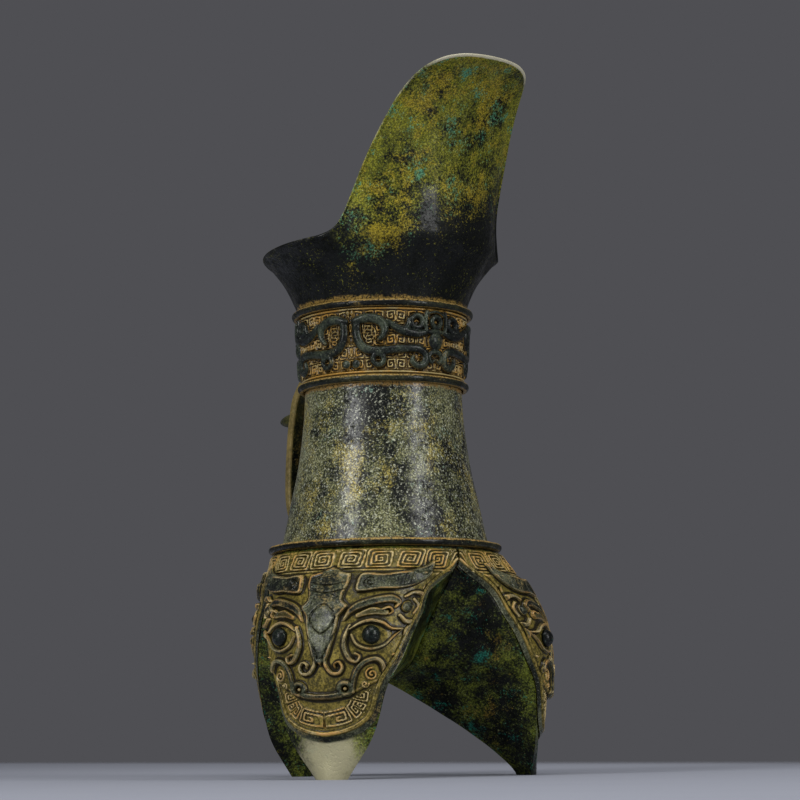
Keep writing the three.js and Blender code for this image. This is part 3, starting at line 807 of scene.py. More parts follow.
@dataclass(frozen=True)
class Patina:
    """Aged cast bronze: mottled oxides over dark metal, under thin wax."""

    name: str
    black: Colour
    body: Colour
    olive: Colour
    ochre: Colour
    mineral: Colour
    pale: Colour
    lip: Colour = (0.3, 0.26, 0.16)
    earth: Colour = srgb(150, 118, 62)
    body_from: float = 0.46
    olive_from: float = 0.51
    ochre_from: float = 0.56
    mineral_from: float = 0.6
    pale_from: float = 0.62
    pale_share: float = 0.7
    grit: float = 0.5
    tone_parts: Parts = (0.4, 0.3, 0.3)
    rust_parts: Parts = (0.55, 0.15, 0.3)
    mineral_parts: Parts = (0.65, 0.35)
    dark: Optional[Spot] = None
    dark_slope: Spot = (0.27, 0.35)
    dark_loose: Spot = (0.1, 0.03)
    dark_parts: Parts = (0.6, 0.4)
    dark_specks: float = 0.6
    shade_loose: float = 20.0
    patch: float = 0.8
    soil_patch: float = 1.6
    soil_swing: float = 1.2
    rub_swing: float = 0.9
    rub_and_highlight_share: float = 0.9
    metal: float = 0.2
    gloss: float = 0.28
    dull: float = 0.34
    specular: float = 0.15
    coat: float = 0.25
    coat_rough: float = 0.18
    wear_parts: Parts = (0.6, 0.4)
    cast_parts: Parts = (0.7, 0.5)
    cast_depth: float = 0.18 * MM
    cast_strength: float = 0.6
    seed: float = 0.0
    stretch: float = 1.0

    def layers(self, tree: Tree) -> Link:
        """The mottled oxides, with painted shade where a finish has a dark level or its piece a shade mark.

        Args:
            tree: The material's tree.

        Returns:
            Their colour.
        """
        mottle = tree.noise(Pattern.MOTTLE, self.seed)
        grain = tree.noise(Pattern.GRAIN, self.seed)
        tone = blend(self.tone_parts, tree.noise(Pattern.CLOUD, self.seed, self.stretch), mottle, grain)
        rust = blend(self.rust_parts, tree.noise(Pattern.RUST, self.seed, self.stretch), mottle, grain)
        green = blend(self.mineral_parts, tree.noise(Pattern.MINERAL, self.seed), grain)
        speck = tree.noise(Pattern.SPECK, self.seed).step(Edge.PALE, self.pale_from)
        dust = tree.noise(Pattern.DUST, self.seed).step(Edge.DUST)
        mottled = tree.coats(
            self.black,
            (tone.step(Edge.BODY, self.body_from), self.body),
            (tone.step(Edge.OLIVE, self.olive_from), self.olive),
            (rust.step(Edge.OCHRE, self.ochre_from), self.ochre),
            (green.step(Edge.MINERAL, self.mineral_from), self.mineral),
            (speck * self.pale_share, self.pale),
            ((1.0 - dust) * self.grit, self.black),
        )
        if self.dark is None:
            return mottled
        # Painted shade: below a level that slants across the piece, and where the shade mark lies, the colour
        # turns black with sparse olive specks.
        loose = rust.swing(self.dark_loose[0]) + grain.swing(self.dark_loose[1])
        slope = tree.axis("X") * self.dark_slope[0] + tree.axis("Y") * self.dark_slope[1]
        above = (tree.axis("Z") - slope + loose).step(self.dark)
        lit = 1.0 - (tree.attribute("shade") + loose * self.shade_loose).step(Edge.SHADE)
        specks = blend(self.dark_parts, grain, rust).step(Edge.DARK_SPECK) * self.dark_specks
        return tree.coats(self.black, (specks, self.olive), (above * lit, mottled))

    def rubbed(self, tree: Tree) -> Link:
        """The oxides, with earth by the seams and on the ribs' tops, partly painted light there, and a pale
        colour on edges that hands rub, partly a painted highlight on the mouth's lip and one foot.

        Args:
            tree: The material's tree.

        Returns:
            Their colour.
        """
        patch = tree.noise(Pattern.PATCH, self.seed).swing(self.patch)
        drift = tree.noise(Pattern.SOIL, self.seed).swing(self.soil_swing)
        soil = tree.attribute("soil") + patch * self.soil_patch + drift
        sand = tree.noise(Pattern.SAND, self.seed).step(Edge.SAND)
        # The relief mark is pale wear on rubbed edges, and a painted highlight on the mouth's lip and the
        # pale foot.
        worn = tree.attribute("relief") + patch + tree.noise(Pattern.RUB, self.seed).swing(self.rub_swing)
        return tree.coats(
            self.layers(tree),
            (soil.step(Edge.SOIL) * sand, self.earth),
            (worn.step(Edge.RUBBED_AND_LIT) * self.rub_and_highlight_share, self.lip),
        )

    def material(self) -> bpy.types.Material:
        """The material.

        Returns:
            A new material of this finish.
        """
        tree = Tree(bpy.data.materials.new(self.name))
        pits = tree.noise(Pattern.PITS, self.seed)
        height = blend(self.cast_parts, tree.noise(Pattern.CASTING, self.seed), pits.step(Edge.PITS))
        uneven = {"Strength": self.cast_strength, "Distance": self.cast_depth, "Height": height}
        wear = blend(self.wear_parts, tree.noise(Pattern.WEAR, self.seed), pits)
        return tree.finish({
            "Base Color": self.rubbed(tree),
            "Metallic": self.metal,
            "Roughness": self.gloss + wear.step(Edge.DULL) * self.dull,
            "Specular IOR Level": self.specular,
            "Coat Weight": wear.step(Edge.WAXED) * self.coat,
            "Coat Roughness": self.coat_rough,
            "Normal": tree.node("ShaderNodeBump", None, uneven),
        })


@dataclass(frozen=True)
class ReliefPatina(Patina):
    """Patina that follows relief: earth in the grooves, rubbed edges and lines, darker raised faces."""

    groove: Colour = (0.02, 0.015, 0.008)
    crest: Colour = (0.3, 0.25, 0.15)
    field_low: Colour = (0.05, 0.04, 0.02)
    field_high: Colour = (0.15, 0.12, 0.05)
    field_parts: Parts = (0.6, 0.4)
    relief_loose: Spot = (0.5, 0.3)
    top_loose: float = 3.0
    face_from: float = 0.72
    face_loose: float = 0.5
    worn: float = 0.4

    def rubbed(self, tree: Tree) -> Link:
        """The oxides, by height.

        Args:
            tree: The material's tree.

        Returns:
            Their colour.
        """
        edge = tree.attribute("edge")
        crumb = tree.noise(Pattern.CRUMB, self.seed)
        drift = tree.noise(Pattern.DRIFT, self.seed)
        loose = crumb.swing(self.relief_loose[0]) + drift.swing(self.relief_loose[1])
        tint = tree.coats(self.crest, (drift.step(Edge.FIELD), self.earth))
        rub = (edge + loose * self.top_loose).step(Edge.TOP) * self.worn
        face = (tree.attribute("relief") + loose * self.face_loose).step(Edge.FACE, self.face_from)
        return tree.coats(
            self.field_low,
            (blend(self.field_parts, crumb, drift).step(Edge.FIELD), self.field_high),
            ((loose - edge).step(Edge.GROOVE), self.groove),
            ((edge + loose).step(Edge.LINE), tint),
            (face, tree.coats(self.layers(tree), (rub, tint))),
        )


def extents(node: str) -> tuple[np.ndarray, np.ndarray]:
    """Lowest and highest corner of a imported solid, in mm."""
    low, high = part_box(node)
    return np.array(low) / MM, np.array(high) / MM


def stations(x: Spot, y: Spot, *shares: Spot) -> list[Spot]:
    """A curve's stations, from shares of a span in x and one in y."""
    return [(x[0] + (x[1] - x[0]) * i, y[0] + (y[1] - y[0]) * j) for i, j in shares]


def settle(piece: bpy.types.Object, node: str, material: bpy.types.Material) -> None:
    """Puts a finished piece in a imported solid's stead.

    Args:
        piece: The piece.
        node: The solid that it stands for.
        material: Its finish.
    """
    piece.data.materials.append(material)
    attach(piece, "root")
    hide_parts(node)
    log.info("made %s with %d points", piece.name, len(piece.data.vertices))


@dataclass
class Mouth:
    """The flaring mouth and the tall spout that rises from it."""

    finish: Patina
    node: str = "mouth_and_spout"
    foot_r: float = 28.4
    rim_z: float = 173.5
    rim_r: float = 41.2
    spout_r: float = 38.9
    wall: float = 2.6
    wall_fade: float = 14.0
    lip_wall: float = 1.7
    lip_round: float = 0.8
    lip_turn: float = 0.985
    lip_height: float = 1.5
    lip_step: float = 0.45
    lip_fade: float = 0.9
    spout_half: float = 54.0
    spout_fade: float = 14.0
    uneven: float = 0.09
    uneven_length: float = 17.0
    uneven_fade: Spot = (2, 8)
    # Strengths of the pale lip, partly wear and partly a painted highlight: everywhere, up the spout, and at
    # its tip.
    rubbed: tuple[float, float, float] = (0.25, 0.2, 0.6)
    lip_wear_and_highlight_band: Spot = (0.5, 0.8)
    spout_wear_and_highlight_rise: float = 9.0
    tip_wear_and_highlight_fade: Spot = (15, 24)
    soil: float = 0.85
    soil_fade: Spot = (1.4, 3.6)
    columns: int = 360
    rows: int = 97

    def lines(self) -> tuple[Curve, Curve, Curve]:
        """The outlines that the mouth follows.

        Returns:
            The flare's radius by height, the spout's radius by height, and the rim's height by degrees.
        """
        low, high = extents(self.node)
        below, above = (low[2], self.rim_z), (self.rim_z, high[2])
        flare = Curve(*stations(below, (self.foot_r, self.rim_r), (0, 0), (0.49, 0.36), (0.78, 0.69), (1, 1)))
        spout = Curve(
            *stations(below, (self.foot_r, self.spout_r), (0, 0), (0.27, 0.16), (0.51, 0.38), (0.68, 0.55),
                      (0.83, 0.72), (0.95, 0.9)),
            *stations(above, (self.spout_r, high[0]), (0.036, 0), (0.243, 0.014), (0.387, 0.08), (0.53, 0.18),
                      (0.675, 0.31), (0.8, 0.475), (0.895, 0.67), (0.96, 0.88), (1, 1)),
        )
        rim = Curve(
            *stations((0, 1), above, (0, 1), (6, 0.998), (12, 0.989), (18, 0.962), (24, 0.905), (30, 0.802),
                      (36, 0.662), (42, 0.518), (48, 0.366), (53, 0.232), (57, 0.125), (61, 0.054),
                      (66, 0.02)),
            (72, self.rim_z + 0.5), (100, self.rim_z - 0.3), (180, self.rim_z - 1.5),
        )
        return flare, spout, rim

    def build(self) -> None:
        """Makes the mouth, with a rounded lip that stands a little proud."""
        flare, spout, rim = self.lines()
        foot = extents(self.node)[0][2]
        angle = (np.arange(self.columns) / self.columns * 2 - 1)[None, :] * math.pi
        v = (np.arange(self.rows) / (self.rows - 1))[:, None]
        away = np.degrees(np.abs(angle))
        top = rim(away)
        height = foot + (top - foot) * (1 - (1 - v) ** 2)
        side = eased(away, self.spout_half, self.spout_half + self.spout_fade)
        radius = spout(height) * (1 - side) + flare(np.minimum(height, self.rim_z)) * side
        under = top - height
        turn = np.clip(1 - under / self.lip_round, 0, self.lip_turn)
        round_off = self.lip_round * (1 - np.sqrt(1 - turn**2))
        hand = 1 + waves(ring_points(radius, angle, height), self.uneven_length, 3)
        uneven = self.uneven * hand * eased(under, *self.uneven_fade)
        step = self.lip_step * eased(under, self.lip_height, self.lip_height + self.lip_fade)
        front = ring_points(radius - round_off - step - uneven, angle, height)
        thick = self.lip_wall + (self.wall - self.lip_wall) * eased(under, 0, self.wall_fade)
        back = ring_points(radius - thick + round_off, angle, height)
        # The pale lip is partly wear and partly a painted highlight, strongest at the spout's tip and up the
        # spout, faint on the flare.
        everywhere, spout_wear_and_highlight, tip_wear_and_highlight = self.rubbed
        rub = everywhere + spout_wear_and_highlight * eased(height, self.rim_z, self.rim_z + self.spout_wear_and_highlight_rise)
        rub += tip_wear_and_highlight * (1 - eased(away, *self.tip_wear_and_highlight_fade))
        marks = {
            "relief": (1 - eased(under / self.lip_height, *self.lip_wear_and_highlight_band)) * rub,
            "soil": self.soil * (1 - eased(height - foot, *self.soil_fade)),
            # Painted shade on the flare, the side away from the spout.
            "shade": side + 0 * height,
        }
        piece = Sheet("cast_mouth", front, back, True, marks).build()
        settle(piece, self.node, self.finish.material())


@dataclass
class Neck:
    """The waisted neck between the shoulder rib and the band."""

    finish: Patina
    node: str = "waist_neck"
    wall: float = 2.6
    waist_r: float = 26.2
    uneven: float = 0.06
    uneven_length: float = 15.0
    soil_foot: Spot = (1.5, 4)
    soil_top: Spot = (1.5, 3.5)
    columns: int = 288
    rows: int = 65

    def build(self) -> None:
        """Makes the neck, a little uneven from its casting."""
        low, high = extents(self.node)
        line = Curve(*stations((low[2], high[2]), (self.waist_r, high[0]), (0, 1), (0.14, 0.8), (0.3, 0.59),
                               (0.5, 0.32), (0.75, 0.1), (1, 0)))
        angle = turns(self.columns)[None, :]
        height = np.linspace(low[2], high[2], self.rows)[:, None]
        radius = line(height)
        hand = 1 + waves(ring_points(radius, angle, height), self.uneven_length, 11)
        front = ring_points(radius - self.uneven * hand, angle, height)
        back = ring_points(radius - self.wall, angle, height)[::BACK_STEP, ::BACK_STEP]
        clean = eased(height - low[2], *self.soil_foot) * eased(high[2] - height, *self.soil_top)
        piece = Sheet("cast_neck", front, back, True, {"soil": 1 - clean + 0 * angle}).build()
        settle(piece, self.node, self.finish.material())


@dataclass
class Rib:
    """A half-round rib over a seam."""

    node: str
    seat: float
    finish: Patina
    facets: int = 12
    columns: int = 320
    sway: float = 0.06
    sway_length: float = 14.0
    earth_and_lit_above: Spot = (0.2, 0.7)
    soil_below: Spot = (0.8, 1)
    sharp: float = 60.0

    def build(self) -> None:
        """Makes the rib; earth lies along its lower edge, and its upper side is paler, partly earth and
        partly painted light from above.
        """
        low, high = extents(self.node)
        round_r, middle = (high[2] - low[2]) / 2, (high[2] + low[2]) / 2
        angle = np.linspace(-math.pi / 2, math.pi / 2, self.facets + 1)
        rise = np.sin(angle)
        nose = np.column_stack([high[0] - round_r + round_r * np.cos(angle), middle + round_r * rise])
        outline = np.vstack([[self.seat, low[2]], nose, [self.seat, high[2]]])
        points = ring_points(outline[:, :1], turns(self.columns)[None, :], outline[:, 1:])
        points[..., 2] += self.sway * waves(points, self.sway_length, 5)
        faces = grid_faces(len(outline) + 1, self.columns, True) % (len(outline) * self.columns)
        # Upper side: earth and painted light from above; lower edge: earth.
        earth_and_painted_light = np.maximum(eased(rise, *self.earth_and_lit_above), eased(-rise, *self.soil_below))
        marks = {"soil": np.repeat(np.concatenate([[1.0], earth_and_painted_light, [1.0]]), self.columns)}
        piece = make_piece(f"cast_{self.node}", points, faces.tolist(), self.sharp, marks)
        settle(piece, self.node, self.finish.material())


@dataclass
class DragonBand:
    """The band of paired dragons on a ground of square spirals, cast three times round the neck."""

    finish: Patina
    node: str = "dragon_band"
    bottom_r: float = 26.6
    top_r: float = 28.0
    wall: float = 2.6
    rib_half: float = 1.5
    ground_margin: float = 0.7
    ground_cells: tuple[int, int] = (16, 5)
    ground_winds: float = 1.7
    ground_rise: float = 0.5
    border: float = 0.3
    units: int = 3
    columns: int = 900
    rows: int = 121
    full_height: float = 1.2

    def dragons(self, relief: Relief) -> None:
        """Draws half a unit, to one side of the nose.

        Args:
            relief: Heights over (distance from the nose, height).
        """
        low, high = extents(self.node)
        foot, top = low[2] + self.rib_half, high[2] - self.rib_half
        edge = eased(relief.up, foot, foot + 0.5) * (1 - eased(relief.up, top - 0.5, top))
        unit = (self.bottom_r + self.top_r) * math.pi / self.units
        start = foot + self.ground_margin
        across, up = self.ground_cells
        cell = (unit / across, (top - self.ground_margin - start) / up)
        relief.thunder(edge, cell, (0.0, start), self.ground_winds, self.ground_rise)
        for height in (foot + self.border, top - self.border):
            relief.strap([(-2, height), (unit / 2 + 2, height)], 0.9, 0.55, 0.3)
        jaw = [(27.2, 147.2), (27.5, 144.1), (26.9, 140.8), (25.0, 138.3), (21.8, 137.3), (18, 137.3),
               (13, 137.9), (7.2, 138.2), (4.5, 137), (3.8, 134.8), (4.9, 133), (7, 132.6), (8.8, 133.8),
               (8.6, 135.4)]
        horn = [(28, 147.1), (24.2, 148), (20.6, 147.5), (18.3, 145.4), (18.4, 142.6), (20.2, 140.7)]
        back = [(17.4, 147.2), (15.4, 145.6), (13.2, 144.3), (10.3, 143.4), (6.8, 143.1), (4.4, 143.6)]
        crest = [(10.2, 147.6), (10.3, 145.6), (11.8, 144)]
        ear = [(3.7, 150.6), (4.2, 147.4), (3.9, 144.2)]
        brow = [(-1.4, 150.9), (1.4, 150.5), (3.4, 149.7)]
        snout = [(-3, 143.9), (0, 144.2), (2.9, 143.8)]
        tongue = [(-1.2, 137.6), (1.6, 137.1), (2.6, 135.4), (1.7, 133.9), (0.5, 134.7)]
        claw = [(16.4, 137.2), (18.2, 136.6), (19.4, 135.6)]
        for points, width, height in (
            (jaw, (2.8, 3.3, 3.3, 3.2, 3.0, 3.0, 3.0, 2.4, 1.6), 1.9),
            (horn, (2.6, 3.5, 3.5, 3.2, 2.6, 1.3), 2.0),
            (back, (1.0, 2.6, 3.2, 3.3, 3.0, 2.4), 1.9), (crest, (1.7, 2.4, 2.6), 1.8),
            (ear, (1.3, 2.0, 1.9), 1.7), (brow, 1.3, 1.1), (snout, 1.7, 1.7),
            (tongue, (1.8, 2.0, 1.8, 1.5, 1.1), 1.6), (claw, (1.2, 1.8, 1.6), 1.6),
        ):
            relief.strap(points, width, height, round_top=True)
        for centre, radius, height, hole in (
            ((7.3, 147), 3.0, 2.0, 1.0), ((0, 147.2), 2.7, 1.9, 0.8), ((0, 140.9), 3.1, 2.1, 0.0),
            ((20.3, 134.5), 2.9, 1.7, 0.8), ((27.9, 133.2), 1.7, 1.5, 0.0), ((28.9, 150), 0.9, 0.9, 0.0),
        ):
            relief.dome(centre, radius, height, hole)
        relief.coil((23.4, 142.9), 2.7, 1.9, 60, 1, 0.6, 0.55)

    def build(self) -> None:
        """Makes the band with its relief."""
        low, high = extents(self.node)
        angle = turns(self.columns)[None, :]
        height = np.linspace(low[2], high[2], self.rows)[:, None]
        ground = self.bottom_r + (self.top_r - self.bottom_r) * (height - low[2]) / (high[2] - low[2])
        mean_r = (self.bottom_r + self.top_r) / 2 + 1
        unit = 2 * math.pi / self.units
        turn = np.abs((angle + unit / 2) % unit - unit / 2) * mean_r
        relief = Relief(turn + 0 * height, height + 0 * turn)
        self.dragons(relief)
        field_edge = np.minimum(height - low[2], high[2] - height)
        lift = relief.shaped() * eased(field_edge, self.rib_half - 0.6, self.rib_half)
        marks = {"relief": np.clip(lift / self.full_height, 0, 1), "edge": standing(lift, 4) * EDGE_STRENGTH}
        front = ring_points(ground + lift, angle, height)
        back = ring_points(ground - self.wall, angle, height)[::BACK_STEP, ::BACK_STEP]
        piece = Sheet("cast_band", front, back, True, marks, RELIEF_SHARP).build()
        settle(piece, self.node, self.finish.material())


@dataclass
class LegForm:
    """The shape that a bag leg and its mask share, in the leg's own frame: +X out along the leg."""

    azimuth: float
    half: float = math.pi / 3
    gap: float = 0.15
    arch_z: float = 67.0
    crotch_z: float = 31.0
    shoulder_z: float = 73.0
    shoulder_r: float = 36.6
    arch_r: float = 36.8
    bulge_r: float = 52.0
    foot_r: float = 49.5
    foot_inner_r: float = 43.0

    def __post_init__(self) -> None:
        """Works out the leg's lines from its sizes."""
        z, top = (0, self.arch_z), (self.shoulder_z, self.shoulder_r)
        self.face_r = Curve(
            *stations(z, (self.foot_r, self.bulge_r), (0, 0), (0.18, 0.2), (0.31, 0.56), (0.45, 1), (0.6, 1)),
            *stations(z, (self.bulge_r, self.shoulder_r), (0.75, 0.11), (0.866, 0.325), (0.985, 0.65)), top,
        )
        self.edge_r = Curve(
            *stations(z, (0, self.foot_r), (0, 0.945), (0.194, 0.99)),
            *stations(z, (self.bulge_r, self.arch_r), (0.433, 0.164), (0.552, 0.29), (0.679, 0.447),
                      (0.776, 0.618), (0.878, 0.796), (1, 1)), top,
        )
        self.edge_turn = Curve(
            *stations(z, (0, 1), (0, 0.11), (0.194, 0.277), (0.433, 0.373), (0.552, 0.463), (0.679, 0.55),
                      (0.776, 0.633), (0.878, 0.717), (1, 1)), (self.shoulder_z, 1),
        )
        self.valley_r = Curve(
            (self.crotch_z, 0.5),
            *stations((self.crotch_z, self.arch_z), (0, self.arch_r), (0.14, 0.33), (0.36, 0.505),
                      (0.67, 0.725)),
            (self.arch_z, self.arch_r - 0.4), top,
        )

    def corner(self, z: np.ndarray) -> tuple[np.ndarray, np.ndarray]:
        """Where the face meets the arch.

        Args:
            z: Heights.

        Returns:
            How far out that is along the leg, and how far to its side.
        """
        turn = np.minimum(self.edge_turn(z), 1) * self.half
        return self.edge_r(z) * np.cos(turn), self.edge_r(z) * np.sin(turn)

    def arc(self, z: np.ndarray) -> tuple[np.ndarray, np.ndarray, np.ndarray]:
        """The face's arc by height.

        Args:
            z: Heights.

        Returns:
            The arc's middle on the x axis, its radius, and half of its turn in radians.
        """
        x, y = self.corner(z)
        sagitta = self.face_r(z) - x
        radius = (y**2 + sagitta**2) / (2 * sagitta)
        centre = self.face_r(z) - radius
        return centre, radius, np.arctan2(y, x - centre)

    def face(self, z: np.ndarray, share: np.ndarray, lift: np.ndarray) -> np.ndarray:
        """Points over the leg's face.

        Args:
            z: Heights.
            share: Places across, from -1 to 1 at the arch's edge.
            lift: Distances off the face.

        Returns:
            The points in the leg's frame.
        """
        centre, radius, turn = self.arc(z)
        angle = turn * share
        return ring_points(radius + lift, angle, z) + np.stack([centre, 0 * centre, 0 * centre], axis=-1)

    def place(self, points: np.ndarray) -> np.ndarray:
        """Keeps points out of the neighbouring legs and turns them to the leg's place.

        Args:
            points: Points in the leg's frame.

        Returns:
            Points in the vessel's frame.
        """
        radius = np.hypot(points[..., 0], points[..., 1])
        limit = self.half - np.arcsin(np.clip(self.gap / np.maximum(radius, self.gap), 0, 1))
        angle = np.clip(np.arctan2(points[..., 1], points[..., 0]), -limit, limit)
        return ring_points(radius, angle + math.radians(self.azimuth), points[..., 2])


@dataclass
class Leg:
    """A hollow bag leg."""

    side: str
    form: LegForm
    finish: Patina
    pale_foot_and_highlight: bool = False
    wall: float = 3.2
    hollow_foot: float = 12.0
    keel_in: Spot = (0.8, 0.9)
    keel_curve: float = 1.3
    corner_in: Spot = (0.75, 0.9)
    valley_in: float = 1.1
    valley_least: float = 0.4
    notch_share: float = 0.06
    bow: float = 0.35
    uneven: float = 0.1
    uneven_length: float = 13.0
    across: int = 48
    sides: int = 20
    pale_rise: Spot = (8, 24)
    pale_out: Spot = (43, 45)
    pale_side: Spot = (3, 15)
    pale_full: float = 1.05
    pale_side_loss: float = 0.7

    def section(self, z: float, wall: float) -> np.ndarray:
        """One level outline of the leg.

        Args:
            z: Its height.
            wall: How far it lies inside the skin.

        Returns:
            Its points, anticlockwise seen from above.
        """
        form = self.form
        split = z < form.crotch_z
        keel_z = max(z - wall * self.keel_in[1], 0)
        keel = max(form.foot_inner_r * (1 - (keel_z / form.crotch_z) ** self.keel_curve), 0)
        inner = np.array([keel + wall * self.keel_in[0] * split, 0.0])
        x, y = form.corner(np.array(z))
        corner = np.array([x - wall * self.corner_in[0], y - wall * self.corner_in[1]])
        if z > form.crotch_z:
            valley = max(float(form.valley_r(np.array(z))) - wall * self.valley_in, self.valley_least)
            notch = valley * np.array([math.cos(form.half), math.sin(form.half)])
        else:
            notch = inner + (corner - inner) * self.notch_share
        out = float(form.face_r(np.array(z))) - wall
        sagitta = out - corner[0]
        radius = (corner[1] ** 2 + sagitta**2) / (2 * sagitta)
        half = math.atan2(corner[1], corner[0] - out + radius)
        turn = np.linspace(-half, half, self.across + 1)
        face = np.column_stack([out - radius + radius * np.cos(turn), radius * np.sin(turn)])
        run = np.linspace(0, 1, self.sides + 1)[:-1, None]
        bow = np.sin(np.pi * run) * self.bow * (wall == 0)
        left = notch + (corner - notch) * run + bow * np.array([0.0, -1.0])
        right = left * np.array([1.0, -1.0])
        ring = np.vstack([inner, right, face, left[::-1]])
        return np.column_stack([ring, np.full(len(ring), z)])

    def build(self) -> None:
        """Makes the leg, hollow from its shoulder down to its foot."""
        form = self.form
        levels = np.concatenate([np.linspace(0, form.arch_z, 60), [69, 71, form.shoulder_z]])
        outer = np.array([self.section(z, 0.0) for z in levels])
        inside = np.concatenate([np.linspace(self.hollow_foot, form.arch_z, 24), [70, form.shoulder_z]])
        inner = np.array([self.section(z, self.wall) for z in inside])
        uneven = -self.uneven * (1 + waves(outer, self.uneven_length, 23))
        outer[..., 0] += uneven * eased(outer[..., 2], 1, 6) * (1 - eased(outer[..., 2], 66, 72))
        # Pale foot, only on the leg nearest the camera: partly pale patina and partly a painted highlight.
        pale = (self.pale_full - eased(outer[..., 2], *self.pale_rise)) * eased(outer[..., 0], *self.pale_out)
        pale *= 1 - self.pale_side_loss * eased(np.abs(outer[..., 1]), *self.pale_side)
        marks = {"relief": pale * self.pale_foot_and_highlight}
        name = f"cast_leg_{self.side}"
        piece = Sheet(name, form.place(outer), form.place(inner), True, marks, capped=True).build()
        settle(piece, f"leg_{self.side}", self.finish.material())


